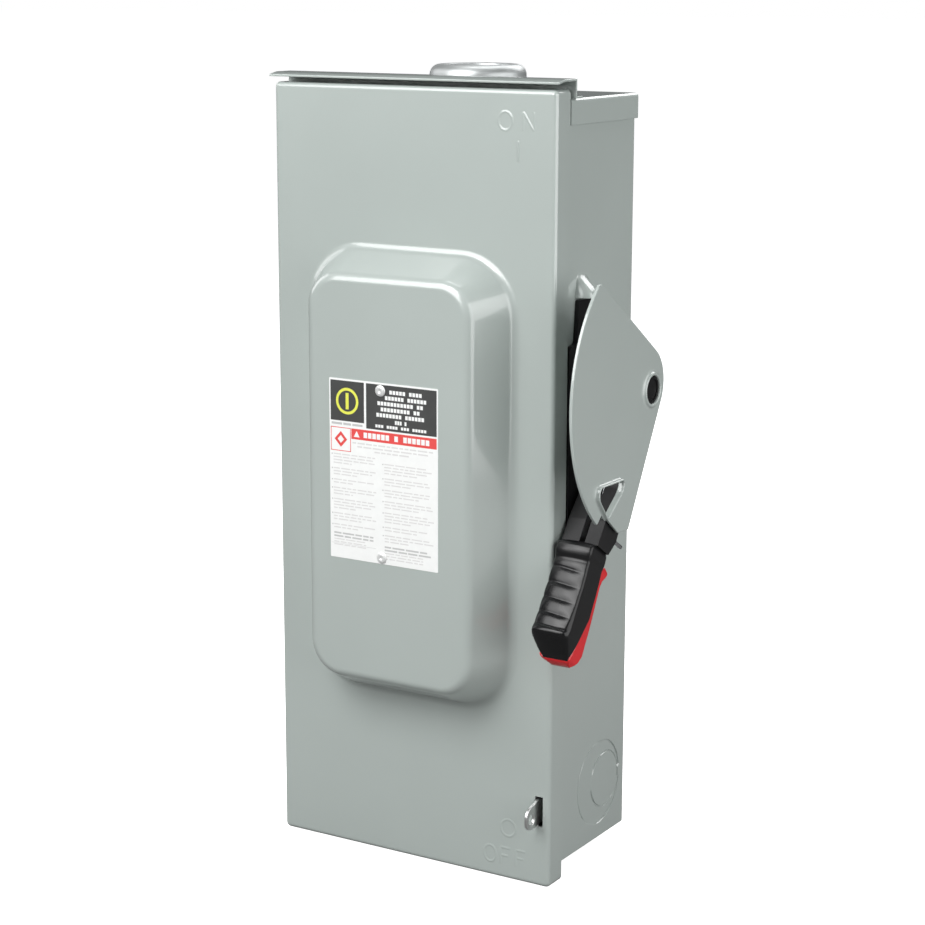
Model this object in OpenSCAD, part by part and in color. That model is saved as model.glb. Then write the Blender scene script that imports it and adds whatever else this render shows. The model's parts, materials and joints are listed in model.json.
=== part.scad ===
// Fused, side-operated safety switch in a rainproof sheet-steel box.
// Origin: centre of the four wall holes, on the wall side of the mounting pads.
// +X to the handle side, +Y to the wall, +Z up. The handle rests in OFF.

/* [Box] */
// Width of the box over its side walls
box_w = 211.4; // [205:0.2:220]
// Height of the box over its end walls
box_h = 508; // [490:1:530]
// Depth from the wall to the front of the closed door
box_d = 114.4; // [110:0.2:122]
// Thickness of the box and door sheet
sheet = 1.5; // [1.2:0.1:2]
// Height of the pads pressed out of the back wall
pad_h = 3; // [2:0.5:4]

/* [Door] */
// Width of the door
door_w = 216; // [214:0.5:222]
// Height of the door
door_h = 526; // [518:1:540]
// How far the door hangs below the box
door_drop = 12; // [10:1:14]
// Depth of the door's side flanges
flange_d = 17.6; // [14:0.2:19]
// Height of the pressed dome over the door's face
dome_h = 29.6; // [20:0.2:34]
// Width of the dome's flat front
dome_w = 113; // [100:1:120]
// Height of the dome's flat front
dome_len = 263; // [240:1:280]

/* [Handle] */
// Turn of the handle from OFF to ON
handle_travel = 100; // [90:1:104]
// Angle of the handle below horizontal in OFF
off_angle = 57.7; // [50:0.1:60]
// Height of the handle shaft over the box's middle
pivot_z = 64; // [50:1:80]
// Distance from the wall to the handle shaft
pivot_y = 41; // [38:0.5:46]
// Radius of the guard's front edge
guard_r = 102.2; // [95:0.2:106]

/* [Switch] */
// Distance between poles
pole_pitch = 48; // [44:1:50]
// Place of the middle pole, left of the box's middle
pole_mid = 20; // [14:1:24]
// Thickness of the knife blades
blade_t = 3.2; // [2:0.1:4]
// Radius from the rotor's axis to the blade tips
blade_r = 45; // [40:1:47]

/* [Fixings] */
// Distance between wall holes across the box
holes_x = 152; // [120:1:170]
// Distance between wall holes up the box
holes_z = 448; // [420:1:449]
// Radius of each wall hole
hole_r = 3.6; // [3:0.1:4.5]
// Radius of the padlock hole in the latch tab
lock_r = 3.6; // [3:0.1:4]

/* [Hidden] */
$fn = 48;
// running gap on a radius
run = 0.05;
hw = box_w / 2;
hh = box_h / 2;
back_y = -pad_h;
inner_back = back_y - sheet;
door_y = -box_d;
door_in = door_y + sheet;
door_z0 = -hh - door_drop;
door_z1 = door_z0 + door_h;
flange_y = door_y + flange_d;
body_front = door_y + 7;
piv = -pivot_y;
// hinge axis, outside the left wall
hinge_x = -112;
hinge_y = door_y + 22;
hinge_zs = [-170, 165];
knuckle_r = 4;
hinge_pin_r = 2;
pad_r = 12;
// dome on the door
dome_z = 2.5;
dome_run = 27;
dome_corner = 18;
// handle guard and what runs behind it
guard_x = 138.5;
guard_t = 2;
eye_lip = 2.7;
collar_lip = 1.8;
shield_x = hw + 3.2;
arm_x0 = 111;
arm_x1 = 137.5;
hood_z = pivot_z + 63;
hood_y = [-84, -58];
shaft_r = 6;
cap_r = 9.2;
cap_neck_r = 7.5;
cap_x = 140.9;
// latch and its slot
latch_x = 97.8;
latch_t = 2;
latch_y = door_y + 14;
latch_z = door_z0 + 55;
latch_ear = 92.5;
plate_y = door_in + 1.5;
slot_x = [96.9, 102.9];
slot_z = [door_z0 + 42.1, door_z0 + 63.1];
lock_eye = [door_y - 9, door_z0 + 50];
// top fittings
hub_x = 9.5;
hub_y = -46;
hub_r = 32.3;
// knockouts near the bottom of each side
ko_y = -41.5;
ko_z = -214;
ko_r = 29.5;
ko_inner_r = 19.4;
ko_shift = 8.8;
ko_groove = 0.7;
// switch parts
poles = [for (i = [-1:1]) i * pole_pitch - pole_mid];
fins = [for (i = [0:3]) (i - 1.5) * pole_pitch - pole_mid];
line_z = [92, 206];
load_z = [-220, 36];
base_front = -26;
load_front = -24;
rotor_turn = handle_travel * 0.56;
tang_end = 163;
fuse_y = -50;
fuse_z = -92;
fuse_r = 17;
fuse_len = 149;
tang_len = 25;
lug_z = 185;
load_lug_z = -207;
lug_bore_y = -40;
lug_bore_r = 5.5;
ground_z = -231;
ground_x0 = -88;

PAINT = [0.66, 0.71, 0.68];
ZINC = [0.78, 0.79, 0.8];
STEEL = [0.6, 0.61, 0.62];
COPPER = [0.8, 0.52, 0.36];
BLACK = [0.1, 0.1, 0.11];
RED = [0.8, 0.12, 0.14];
MOULDED = [0.32, 0.14, 0.1];

function unit(v) = v / norm(v);
// arc that rounds corner p1 of an outline
function corner_arc(p0, p1, p2, r, n) =
    let (a = unit(p0 - p1), b = unit(p2 - p1),
         half = acos(a * b) / 2,
         c = p1 + unit(a + b) * r / sin(half),
         s = p1 + a * r / tan(half) - c,
         e = p1 + b * r / tan(half) - c,
         from = atan2(s[1], s[0]),
         turn = (atan2(e[1], e[0]) - from + 540) % 360 - 180)
    [for (i = [0:n]) c + r * [cos(from + turn * i / n), sin(from + turn * i / n)]];
// outline through points [x, y, corner radius]
function rounded(pts, n = 6) =
    let (m = len(pts), xy = [for (p = pts) [p[0], p[1]]])
    [for (i = [0:m - 1], q = pts[i][2] > 0
            ? corner_arc(xy[(i + m - 1) % m], xy[i], xy[(i + 1) % m], pts[i][2], n)
            : [xy[i]]) q];
function arc(c, r, a0, a1, n) =
    [for (i = [0:n], a = a0 + (a1 - a0) * i / n) c + r * [cos(a), sin(a)]];

// box from its lowest to its highest corner
module block(lo, hi) translate(lo) cube(hi - lo);
// extrudes an outline drawn in (y, z) along X
module along_x(x0, x1) translate([x0, 0, 0]) rotate([90, 0, 90]) linear_extrude(x1 - x0) children();
// extrudes an outline drawn in (x, z) along Y
module along_y(y0, y1) translate([0, y1, 0]) rotate([90, 0, 0]) linear_extrude(y1 - y0) children();
module rod_x(x0, x1, y, z, r) translate([x0, y, z]) rotate([0, 90, 0]) cylinder(h = x1 - x0, r = r);
module rod_y(y0, y1, x, z, r) translate([x, y0, z]) rotate([-90, 0, 0]) cylinder(h = y1 - y0, r = r);
// rounded rectangle about the origin
module plate2d(w, h, r) polygon(rounded([[-w / 2, -h / 2, r], [w / 2, -h / 2, r], [w / 2, h / 2, r],
    [-w / 2, h / 2, r]]));
// handle frame: s runs down the arm from the shaft, n towards its front
module handle_frame() translate([0, piv, pivot_z]) rotate([off_angle - 90, 0, 0]) children();
module arm_outline(x0, x1, pts) handle_frame() along_x(x0, x1) polygon(rounded([for (p = pts)
    [-p[1], -p[0], p[2]]]));
// rotor frame: +Z runs along the blades
module rotor_frame() translate([0, piv, pivot_z]) rotate([rotor_turn, 0, 0]) children();

// ---- box ----
module enclosure_body() color(PAINT) difference() {
    union() {
        translate([0, 0, -hh]) linear_extrude(box_h - sheet - 0.1) difference() {
            translate([-hw, body_front]) square([box_w, back_y - body_front]);
            translate([-hw + sheet, body_front - 1])
                square([box_w - 2 * sheet, inner_back - body_front + 1]);
        }
        wall_holes() rod_y(inner_back, 0, 0, 0, pad_r);
    }
    wall_holes() {
        rod_y(inner_back - 1, 1, 0, 0, hole_r);
        rod_y(inner_back - 1, -sheet, 0, 0, pad_r - 3);
    }
    block([hw - sheet - 1, piv - 47, pivot_z - 84], [hw + 1, piv + 21, pivot_z + 21]);
    for (side = [-1, 1]) knockout(side);
}
module wall_holes() for (x = [-1, 1] * holes_x / 2, z = [-1, 1] * holes_z / 2) translate([x, 0, z])
    children();
// shallow rings where the side knockouts are sheared
module knockout(side) {
    depth = 0.4;
    for (ring = [[0, ko_r], [ko_shift, ko_inner_r]])
        translate([side * (hw - depth / 2), ko_y + ring[0], ko_z]) rotate([0, 90, 0])
            difference() {
                cylinder(h = depth + 0.01, r = ring[1], center = true);
                cylinder(h = depth + 1, r = ring[1] - ko_groove, center = true);
            }
}

module top_endcap() color(PAINT) difference() {
    gap = 0.2;
    x = hw + gap + sheet;
    y = back_y + gap + sheet;
    front = flange_y + 2.3;
    union() {
        block([-x, front, hh - 16.5], [x, y, hh]);
        block([-hw + sheet + gap, body_front, hh - 12], [hw - sheet - gap, front, hh]);
    }
    block([-x + sheet, front - 1, hh - 20], [x - sheet, y - sheet, hh - sheet]);
    block([-hw, body_front + sheet, hh - 20], [hw, front + 1, hh - sheet]);
    translate([hub_x, hub_y, hh - 5]) cylinder(h = 10, r = hub_r - 3);
}
module bottom_endwall() color(PAINT) difference() {
    x = hw - sheet - 0.2;
    block([-x, body_front + 1.6, -hh], [x, inner_back - 0.2, -hh + 14]);
    block([-x + sheet, body_front + 1.6 + sheet, -hh + sheet], [x - sheet, inner_back - 0.2 - sheet, hh]);
    for (kx = [-50, 0, 50], r = [15, 22]) translate([kx, -50, -hh - 0.01]) difference() {
        cylinder(h = 0.4, r = r);
        translate([0, 0, -1]) cylinder(h = 3, r = r - ko_groove);
    }
}
// Z-shaped strip: foot on the end cap, web, roof over the door's top edge
module rain_hood() color(PAINT) {
    web = flange_y + 2.4;
    roof = hh + 12.4;
    lip = door_y + 6;
    along_x(-110.5, 110.5) polygon([
        [web + 8.5, hh], [web + 8.5, hh + sheet], [web + sheet, hh + sheet], [web + sheet, roof],
        [lip, roof], [door_y - 2, roof - 1.5], [door_y - 2, roof - 3], [lip, roof - sheet],
        [web, roof - sheet], [web, hh]]);
}
module hub_plate() color(ZINC) translate([hub_x, hub_y, hh + 1.6]) difference() {
    top = 16.4;
    flange = 2.6;
    union() {
        linear_extrude(flange) plate2d(78, 78, 12);
        rotate_extrude() polygon(concat([[0, 0], [hub_r, 0]], arc([hub_r - 7, top - 7], 7, 0, 90, 10),
            [[hub_r - 12, top - 1], [0, top - 1]]));
    }
    translate([0, 0, -1]) cylinder(h = top - 2.4, r = hub_r - 7);
    hub_bolts() translate([0, 0, -1]) cylinder(h = 9, r = 2.6);
}
module hub_bolts() for (x = [-1, 1], y = [-1, 1]) translate([x * 30.5, y * 30.5, 0]) children();
module hub_gasket() color(BLACK) translate([hub_x, hub_y, hh]) difference() {
    linear_extrude(1.6) plate2d(78, 78, 12);
    translate([0, 0, -1]) cylinder(h = 4, r = hub_r - 3);
    hub_bolts() translate([0, 0, -1]) cylinder(h = 4, r = 2.6);
}
module hub_screws() color(ZINC) translate([hub_x, hub_y, hh + 4.2]) hub_bolts() difference() {
    union() {
        cylinder(h = 3, r = 4.2);
        translate([0, 0, -4.2]) cylinder(h = 4.2, r = 2.5);
    }
    translate([-5, -0.6, 1.8]) cube([10, 1.2, 3]);
}

// ---- hinges ----
module box_hinge_leaves() color(PAINT) for (hz = hinge_zs) translate([0, 0, hz]) difference() {
    union() {
        block([-hw - 2, hinge_y + 2, -30], [-hw, hinge_y + 26, 30]);
        for (z = [-30, 12]) {
            translate([hinge_x, hinge_y, z]) cylinder(h = 18, r = knuckle_r);
            block([hinge_x, hinge_y, z], [-hw - 1, hinge_y + 4, z + 18]);
        }
    }
    translate([hinge_x, hinge_y, -40]) cylinder(h = 80, r = hinge_pin_r);
}
module door_hinge_leaves() color(PAINT) for (hz = hinge_zs) translate([0, 0, hz]) difference() {
    leaf = 1.5;
    union() {
        block([-door_w / 2 - leaf, door_y + 4.5, -30], [-door_w / 2, flange_y - 0.8, 30]);
        translate([hinge_x, hinge_y, -11]) cylinder(h = 22, r = knuckle_r);
        block([hinge_x, flange_y - 1, -11], [-door_w / 2, hinge_y, 11]);
    }
    translate([hinge_x, hinge_y, -40]) cylinder(h = 80, r = hinge_pin_r + run);
}
module hinge_pins() color(ZINC) for (hz = hinge_zs) translate([hinge_x, hinge_y, hz]) {
    translate([0, 0, -30]) cylinder(h = 60, r = hinge_pin_r);
    translate([0, 0, 30]) cylinder(h = 1.8, r = 3.2);
}

// ---- latch ----
module latch_bracket() color(ZINC) difference() {
    z = [latch_z - 9, latch_z + 12];
    union() {
        block([85, plate_y, z[0]], [latch_ear + 2, plate_y + 1.8, z[1]]);
        block([latch_ear, plate_y, z[0]], [latch_ear + 2, latch_y + 6, z[1]]);
    }
    rod_x(90, 110, latch_y, latch_z, 2);
}
module latch_pin() color(STEEL) {
    rod_x(latch_ear, latch_x + latch_t + 0.2, latch_y, latch_z, 2);
    rod_x(latch_x + latch_t + 0.2, latch_x + latch_t + 1.6, latch_y, latch_z, 3.4);
}
module latch_spring() color(STEEL) difference() {
    rod_x(latch_ear + 2.1, latch_x - 0.2, latch_y, latch_z, 4.4);
    rod_x(90, 110, latch_y, latch_z, 2.6);
}
module latch_tab() color(ZINC) difference() {
    along_x(latch_x, latch_x + latch_t) polygon(rounded([
        [latch_y + 7, latch_z - 7, 4], [latch_y + 7, latch_z + 6.5, 4],
        [door_y + 1, latch_z + 6.5, 3], [door_y - 6, latch_z + 4.5, 4], [door_y - 16, latch_z + 2.5, 7.5],
        [door_y - 15.5, latch_z - 12.2, 6.5], [door_y - 1.5, latch_z - 12.2, 4]]));
    rod_x(90, 110, latch_y, latch_z, 2 + run);
    rod_x(90, 110, lock_eye[0], lock_eye[1], lock_r);
}
module latch_plate() color(ZINC) difference() {
    block([84, door_in, slot_z[0] - 10], [hw - sheet - 0.5, plate_y, slot_z[1] + 10]);
    latch_slot();
}
module latch_slot() block([slot_x[0], door_y - 1, slot_z[0]], [slot_x[1], door_y + 8, slot_z[1]]);

// ---- parts on the handle wall ----
module slot_shield() color(BLACK) difference() {
    along_x(hw, shield_x) polygon(rounded([
        [piv - 54.8, pivot_z - 98, 5], [-8, pivot_z - 98, 5], [-8, pivot_z + 33, 5],
        [hood_y[1] - 2, pivot_z + 33, 3], [hood_y[1] - 2, hood_z - 1.5, 3],
        [hood_y[0] + 0.5, hood_z - 1.5, 1], [hood_y[0] - 2, pivot_z + 33, 3],
        [piv - 54.8, pivot_z + 33, 5]]));
    rod_x(hw - 1, shield_x + 1, piv, pivot_z, 9);
}
// lanced hood above the handle's opening, open below
module hood_bump(inset) hull() {
    along_x(hw - 0.5, hw + 0.1) polygon([[hood_y[0] + inset, hood_z],
        [hood_y[0] + 6 + inset, hood_z + 16 - inset],
        [hood_y[1] - 5 - inset, hood_z + 16 - inset], [hood_y[1] - inset, hood_z]]);
    along_x(hw + 5, hw + 11 - inset) polygon([[hood_y[0] + 1.5 + inset, hood_z],
        [hood_y[0] + 2.5 + inset, hood_z + 4 - inset],
        [hood_y[1] - 3 - inset, hood_z + 4 - inset], [hood_y[1] - 2 - inset, hood_z]]);
}
module slot_hood() color(PAINT) difference() {
    hood_bump(0);
    translate([-0.5, 0, -0.5]) hood_bump(1.6);
    block([hw - 2, -90, hood_z - 2], [hw, 0, hood_z + 40]);
}
// flanged padlock hole in the guard, an outline in (y, z)
function eye(grow) = rounded([[-114.4 - grow, 11.6 + grow * 0.8, 3.5 + grow],
    [-81.8 + grow * 1.5, 10.9 + grow, 1.5 + grow],
    [-85.2 + grow, 3.5, 8], [-103.6, -9.6 - grow * 1.5, 1.2 + grow], [-115.3 - grow, 4.6, 6]]);
module guard_outline() difference() {
    intersection() {
        translate([door_y + 67, pivot_z + 0.8]) circle(r = guard_r, $fn = 120);
        polygon(rounded([[-175, pivot_z + 26, 0], [-115, pivot_z + 78.3, 5],
            [piv + 25.9, pivot_z + 11.9, 26], [piv - 30, pivot_z - 88.2, 1.5],
            [piv - 44, pivot_z - 87.6, 1.5], [piv - 67.6, pivot_z - 71.6, 0.8],
            [piv - 72.6, pivot_z - 76, 1.2], [-175, pivot_z - 76, 0]]));
    }
    polygon(eye(0));
    translate([piv, pivot_z]) circle(r = cap_r + run);
}
module handle_guard() color(PAINT) {
    bite = 0.5;
    face = guard_x + guard_t;
    along_x(guard_x, face) guard_outline();
    along_x(face - bite, face + eye_lip) difference() {
        polygon(eye(1.4));
        polygon(eye(0));
    }
    along_x(face - bite, face + collar_lip) translate([piv, pivot_z]) difference() {
        circle(r = cap_r + 2);
        circle(r = cap_r + run);
    }
    guard_frame() {
        block([shield_x, -62, -16.6], [guard_x + bite, -12, -14.6]);
        difference() {
            block([shield_x, -58, -28.6], [shield_x + 2, -16, -16.6 + bite]);
            for (y = guard_screw_y) rod_x(shield_x - 1, shield_x + 3, y, guard_screw_z, 2.2);
        }
    }
}
// frame along the guard's lower edge, about the handle shaft
module guard_frame() translate([0, piv, pivot_z]) rotate([61.3, 0, 0]) children();
guard_screw_y = [-50, -24];
guard_screw_z = -23;
module guard_screws() color(ZINC) guard_frame() for (y = guard_screw_y) {
    rod_x(shield_x, shield_x + 2, y, guard_screw_z, 2.1);
    rod_x(shield_x + 2, shield_x + 4.4, y, guard_screw_z, 4);
}

// ---- handle ----
module drive_shaft() color(STEEL) rod_x(71.5, 136, piv, pivot_z, shaft_r);
module pivot_cap() color(BLACK) difference() {
    union() {
        rod_x(136, guard_x, piv, pivot_z, cap_neck_r);
        rod_x(guard_x - 0.5, cap_x, piv, pivot_z, cap_r);
    }
    rod_x(cap_x - 0.6, cap_x + 1, piv, pivot_z, cap_r - 1.6);
}
module handle_arm() color(BLACK) difference() {
    union() {
        for (x = [[arm_x0, 123.4], [127.6, arm_x1]]) arm_outline(x[0], x[1], [
            [12, 6, 6], [-9, 9, 9], [-9, -12, 9], [30, -13, 12], [60, -14.5, 0], [95, -15.4, 1.5],
            [102, -15.8, 3], [113, -10.4, 0], [113, 7.2, 0], [96, 6, 8], [70, 1, 12], [30, 3, 0]]);
        arm_outline(123.4, 127.6, [[-10, 10, 8], [-10, -12, 8], [20, -12, 4], [20, 8, 4]]);
        arm_outline(117, 131, [[113, 5, 0], [113, -7, 0], [tang_end, -7, 4], [tang_end, 5, 4]]);
    }
    rod_x(100, 140, piv, pivot_z, shaft_r);
    rod_x(136, 140, piv, pivot_z, cap_neck_r);
    arm_pin_rod(1.3);
}
module lock_blade() color(STEEL) arm_outline(124.8, 126.2, [
    [24, -10, 3], [108, -10, 3], [108, -3, 3], [24, -2, 3]]);
module arm_pin_rod(r) handle_frame() translate([135.2, 10, -101.5]) rotate([-90, 0, 0])
    cylinder(h = 18, r = r);
module arm_pin() color(STEEL) arm_pin_rod(1.3);
module grip() color(BLACK) difference() {
    arm_outline(109.8, 136.8, [
        [113, -11.2, 0], [157, -12.2, 0], [172, -7.2, 0], [187, -2.2, 0], [188.8, -2.5, 0.3], [183, 7, 3],
        [178.6, 13.4, 2.5], [174.5, 14.8, 2.5], [169.5, 12.8, 4], [126, 11.2, 6], [120, 13.7, 3],
        [113, 12.6, 1.5]]);
    arm_outline(117, 131, [[112, 5, 0], [112, -7, 0], [tang_end, -7, 4], [tang_end, 5, 4]]);
}
module grip_back() color(RED) arm_outline(112, 135.5, [
    [123, -11.6, 0], [120.2, -18.6, 1], [121.6, -22.4, 1.5], [125.4, -21.8, 2], [129.6, -17.8, 3],
    [136, -17, 0], [161, -18.6, 0], [180.5, -18.8, 6], [187.5, -15, 4], [191.4, -10, 3], [191.4, -3.4, 1.5],
    [188.8, -2.5, 0], [187, -2.2, 0], [172, -7.2, 0], [157, -12.2, 0]]);
module drive_crank() color(ZINC) handle_frame() difference() {
    union() {
        along_x(72, 76) polygon(rounded([[-11, 11, 10], [-8, -30, 8], [8, -30, 8], [11, 11, 10]]));
        rod_x(63, 72, 0, -22, 3);
    }
    rod_x(71, 77, 0, 0, shaft_r);
}

// ---- rotor ----
module rotor_bar() color(MOULDED) rotor_frame() difference() {
    union() {
        rod_x(-93, 58, 0, 0, 10);
        rod_x(-99, 68, 0, 0, 7);
    }
    for (x = poles) block([x - blade_t / 2, -6, -20], [x + blade_t / 2, 6, 20]);
}
module switch_blades() color(COPPER) rotor_frame() for (x = poles)
    along_x(x - blade_t / 2, x + blade_t / 2)
        polygon(rounded([[-6, -24, 1.5], [6, -24, 1.5], [6, blade_r, 4], [-6, blade_r, 2]]));
// disc with a wide curved slot, so the pin moves it over only half the handle's turn
module rotor_crank() color(ZINC) {
    slot0 = -off_angle - 11;
    slot1 = slot0 + rotor_turn + 22;
    mid = (slot0 + slot1) / 2;
    translate([0, piv, pivot_z]) difference() {
        along_x(63.5, 67.5) polygon(concat(arc([0, 0], 28.5, 180 - slot1 - 12, 180 - slot0 + 12, 24),
            [rounded_hub(180 - slot0 + 90), rounded_hub(180 - mid + 180), rounded_hub(180 - slot1 - 90)]));
        along_x(63, 68) polygon(concat(arc([0, 0], 25.6, 180 - slot1, 180 - slot0, 20),
            arc([0, 0], 18.4, 180 - slot0, 180 - slot1, 20)));
        rod_x(63, 68, 0, 0, 7);
    }
}
function rounded_hub(a) = 14 * [cos(a), sin(a)];

// ---- switch base and contacts ----
module mechanism_frame() color(ZINC) difference() {
    union() {
        block([60, inner_back - 2.5, 22], [103, inner_back, 106]);
        for (x = [60, 100.5]) along_x(x, x + 2.5)
            polygon(rounded([[inner_back, 22, 0], [inner_back, 106, 0], [-58, 106, 6], [-74, 84, 6],
                [-74, 40, 6], [-58, 22, 6]]));
        block([62.5, -74, 96], [100.5, -71.5, 100]);
    }
    rod_x(50, 63, piv, pivot_z, 7 + run);
    rod_x(100, 104, piv, pivot_z, 9);
    block([62.5, -80, 95], [100.5, -66, 101]);
}
module shaft_bushing() color([0.72, 0.55, 0.3]) difference() {
    rod_x(96, shield_x + 1, piv, pivot_z, 9);
    rod_x(95, shield_x + 2, piv, pivot_z, shaft_r + run);
}
module main_spring() color(STEEL) difference() {
    rod_x(79, 94, piv, pivot_z, 10.5);
    rod_x(78, 95, piv, pivot_z, 8);
}
module interlock_lever() color(ZINC) along_x(98, 100.5) polygon(rounded([
    [-58, 70, 3], [-58, 88, 3], [-96, 88, 3], [-102, 80, 2], [-102, 72, 2], [-97, 72, 1],
    [-94, 79, 2], [-70, 79, 4], [-66, 70, 3]]));
module interlock_hook() color(ZINC) {
    block([80, door_in, 62], [90, door_in + 1.5, 96]);
    along_x(88, 90) polygon(rounded([[door_in + 1.5, 62, 0], [door_in + 1.5, 96, 0], [-98, 90, 3],
        [-94, 80, 2], [-98, 70, 3]]));
}
module rotor_bearing() color(MOULDED) difference() {
    union() {
        block([-98.5, piv - 12, pivot_z - 12], [-93.5, inner_back, pivot_z + 12]);
        block([-103, inner_back - 4, pivot_z - 12], [-93.5, inner_back, pivot_z + 12]);
    }
    rod_x(-110, -90, piv, pivot_z, 7 + run);
}
// moulded block with fins between the poles
module pole_base(z, front, fin_front) difference() {
    union() {
        block([fins[0] - 3, front, z[0]], [fins[3] + 3, inner_back, z[1]]);
        for (x = fins) block([x - 1.5, fin_front, z[0]], [x + 1.5, inner_back, z[1]]);
    }
    for (p = base_holes(z)) rod_y(front - 1, inner_back + 1, p[0], p[1], 2.6);
    for (p = base_holes(z)) rod_y(front - 1, front + 7, p[0], p[1], 5.5);
}
function base_holes(z) = [for (x = [fins[1] - 7, fins[2] + 7], s = [z[0] + 12, z[1] - 12]) [x, s]];
module line_base() color(MOULDED) pole_base(line_z, base_front, -62);
module load_base() color(MOULDED) pole_base(load_z, load_front, -58);
module base_screws() color(ZINC)
for (b = [[line_z, base_front], [load_z, load_front]], p = base_holes(b[0])) {
    rod_y(b[1] + 3.5, b[1] + 7, p[0], p[1], 4.4);
    rod_y(b[1] + 7, inner_back, p[0], p[1], 2.5);
}
// U of two legs on a strap; the legs hold a blade of blade_t with a slide gap
module jaw(front, strap, legs, reach) {
    gap = blade_t / 2 + 0.15;
    for (x = poles) {
        block([x - 8, front - 3, strap[0]], [x + 8, front, strap[1]]);
        for (s = [[-gap - 2.5, -gap], [gap, gap + 2.5]])
            block([x + s[0], reach, legs[0]], [x + s[1], front - 3, legs[1]]);
    }
}
module line_jaws() color(COPPER) jaw(base_front, [96, 197], [97, 119], -50);
module hinge_contacts() color(COPPER) jaw(load_front, [11, 36], [30, 52], -50);
module fuse_clips() color(COPPER) {
    jaw(load_front, [-15, 10.8], [-14, 9], -60);
    jaw(load_front, [-218, -170], [-193, -170], -60);
}
module fuse_barrels() color([0.55, 0.75, 0.62]) for (x = poles)
    translate([x, fuse_y, fuse_z]) cylinder(h = fuse_len - 40, r = fuse_r - 0.8, center = true);
module fuse_caps() color(COPPER) for (x = poles, s = [-1, 1]) translate([x, fuse_y, fuse_z]) {
    translate([0, 0, s * (fuse_len / 2 - 10)]) cylinder(h = 20, r = fuse_r, center = true);
    translate([0, 0, s * (fuse_len / 2 + tang_len / 2)]) cube([blade_t, 19, tang_len], center = true);
}
// drilled block with a wire bore up its length and a screw from the front
module lugs(z, front) for (x = poles) difference() {
    block([x - 11, -54, z - 11], [x + 11, front - 3, z + 11]);
    translate([x, lug_bore_y, z - 20]) cylinder(h = 40, r = lug_bore_r);
    rod_y(-60, lug_bore_y, x, z, 4.5);
}
module lug_screws(z) for (x = poles) difference() {
    rod_y(-57, lug_bore_y - lug_bore_r - 1, x, z, 4.45);
    translate([x, -57, z]) rotate([-90, 0, 0]) cylinder(h = 5, r = 2.6, $fn = 6);
}
module line_lugs() color(ZINC) lugs(lug_z, base_front);
module line_lug_screws() color(STEEL) lug_screws(lug_z);
module load_lugs() color(ZINC) lugs(load_lug_z, load_front);
module load_lug_screws() color(STEEL) lug_screws(load_lug_z);
module arc_chutes() color([0.25, 0.12, 0.1]) for (x = poles) {
    for (s = [[-18.5, -16.5], [16.5, 18.5]]) along_x(x + s[0], x + s[1]) polygon([
        [base_front, 122], [base_front, 140], [-94, 140], [-94, 86], [-54, 86], [-54, 122]]);
    block([x - 16.5, -94, 100], [x + 16.5, -92, 140]);
    block([x - 16.5, -92, 138], [x + 16.5, base_front - 3.2, 140]);
}
module arc_plates() color(STEEL) for (x = poles, a = [36:10:76]) translate([x, piv, pivot_z])
    rotate([-a, 0, 0]) block([-16.5, -60, -0.7], [16.5, -49, 0.7]);
module line_shield() color([0.8, 0.85, 0.88, 0.4]) {
    x0 = fins[0] - 5;
    x1 = fins[3] + 5;
    block([x0, -82, 148], [x1, -80, 214]);
    for (x = [x0, x1 - 2]) block([x, -80, 160], [x + 2, inner_back, 204]);
    block([x0 + 2, -80, 212], [x1 - 2, -64, 214]);
}
module ground_bar() color(ZINC) difference() {
    block([-96, -18, ground_z - 5], [-20, inner_back, ground_z + 5]);
    for (i = [0:4]) rod_y(-20, -8, ground_x0 + i * 15, ground_z, 2.5);
}
module ground_screws() color([0.45, 0.6, 0.4]) for (i = [0:4]) {
    rod_y(-18, -9, ground_x0 + i * 15, ground_z, 2.45);
    rod_y(-20.5, -18, ground_x0 + i * 15, ground_z, 4.2);
}

// ---- door ----
// slab of the dome's outline, shrunk by inset, between two heights over the door's face
module dome_slab(inset, low, high) along_y(door_y - high, door_y - low) translate([0, dome_z])
    plate2d(dome_w + 2 * dome_run - 2 * inset, dome_len + 2 * dome_run - 2 * inset,
        dome_corner + dome_run - inset);
module dome(t) hull() {
    dome_slab(6 + t, -2, 0.5);
    dome_slab(8 + t, 0.5, 3);
    dome_slab(18 + t, 21 - t / 2, 21.1 - t / 2);
    dome_slab(22 + t, 26.8 - t, 26.9 - t);
    dome_slab(26.5, dome_h - 0.2 - t, dome_h - t);
}
module door_panel() color(PAINT) difference() {
    union() {
        block([-door_w / 2, door_y, door_z0], [door_w / 2, flange_y, door_z1]);
        dome(0);
    }
    block([-door_w / 2 + sheet, door_in, door_z0 + sheet],
        [door_w / 2 - sheet, flange_y + 1, door_z1 - sheet]);
    dome(sheet);
    latch_slot();
}
module label_plate() color("white") difference() {
    label_block(door_y - dome_h);
    for (r = rivets) rod_y(door_y - dome_h - 3, door_y - dome_h + 3, r[0], r[1], 2.4);
}
rivets = [[-4.5, 65], [-4, -47]];
module label_block(y) block([-45, y - 0.3, -51.3], [39.8, y, 70.3]);
module label_rivets() color(ZINC) for (r = rivets) {
    translate([r[0], door_y - dome_h - 0.3, r[1]]) rotate([90, 0, 0]) cylinder(h = 1.2, r = 3.9);
    rod_y(door_y - dome_h - 0.3, door_y - dome_h, r[0], r[1], 2.4);
}
module diagram_sheet() color("white") block([-62, door_in, -250], [58, door_in + 0.3, -168]);

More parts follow.
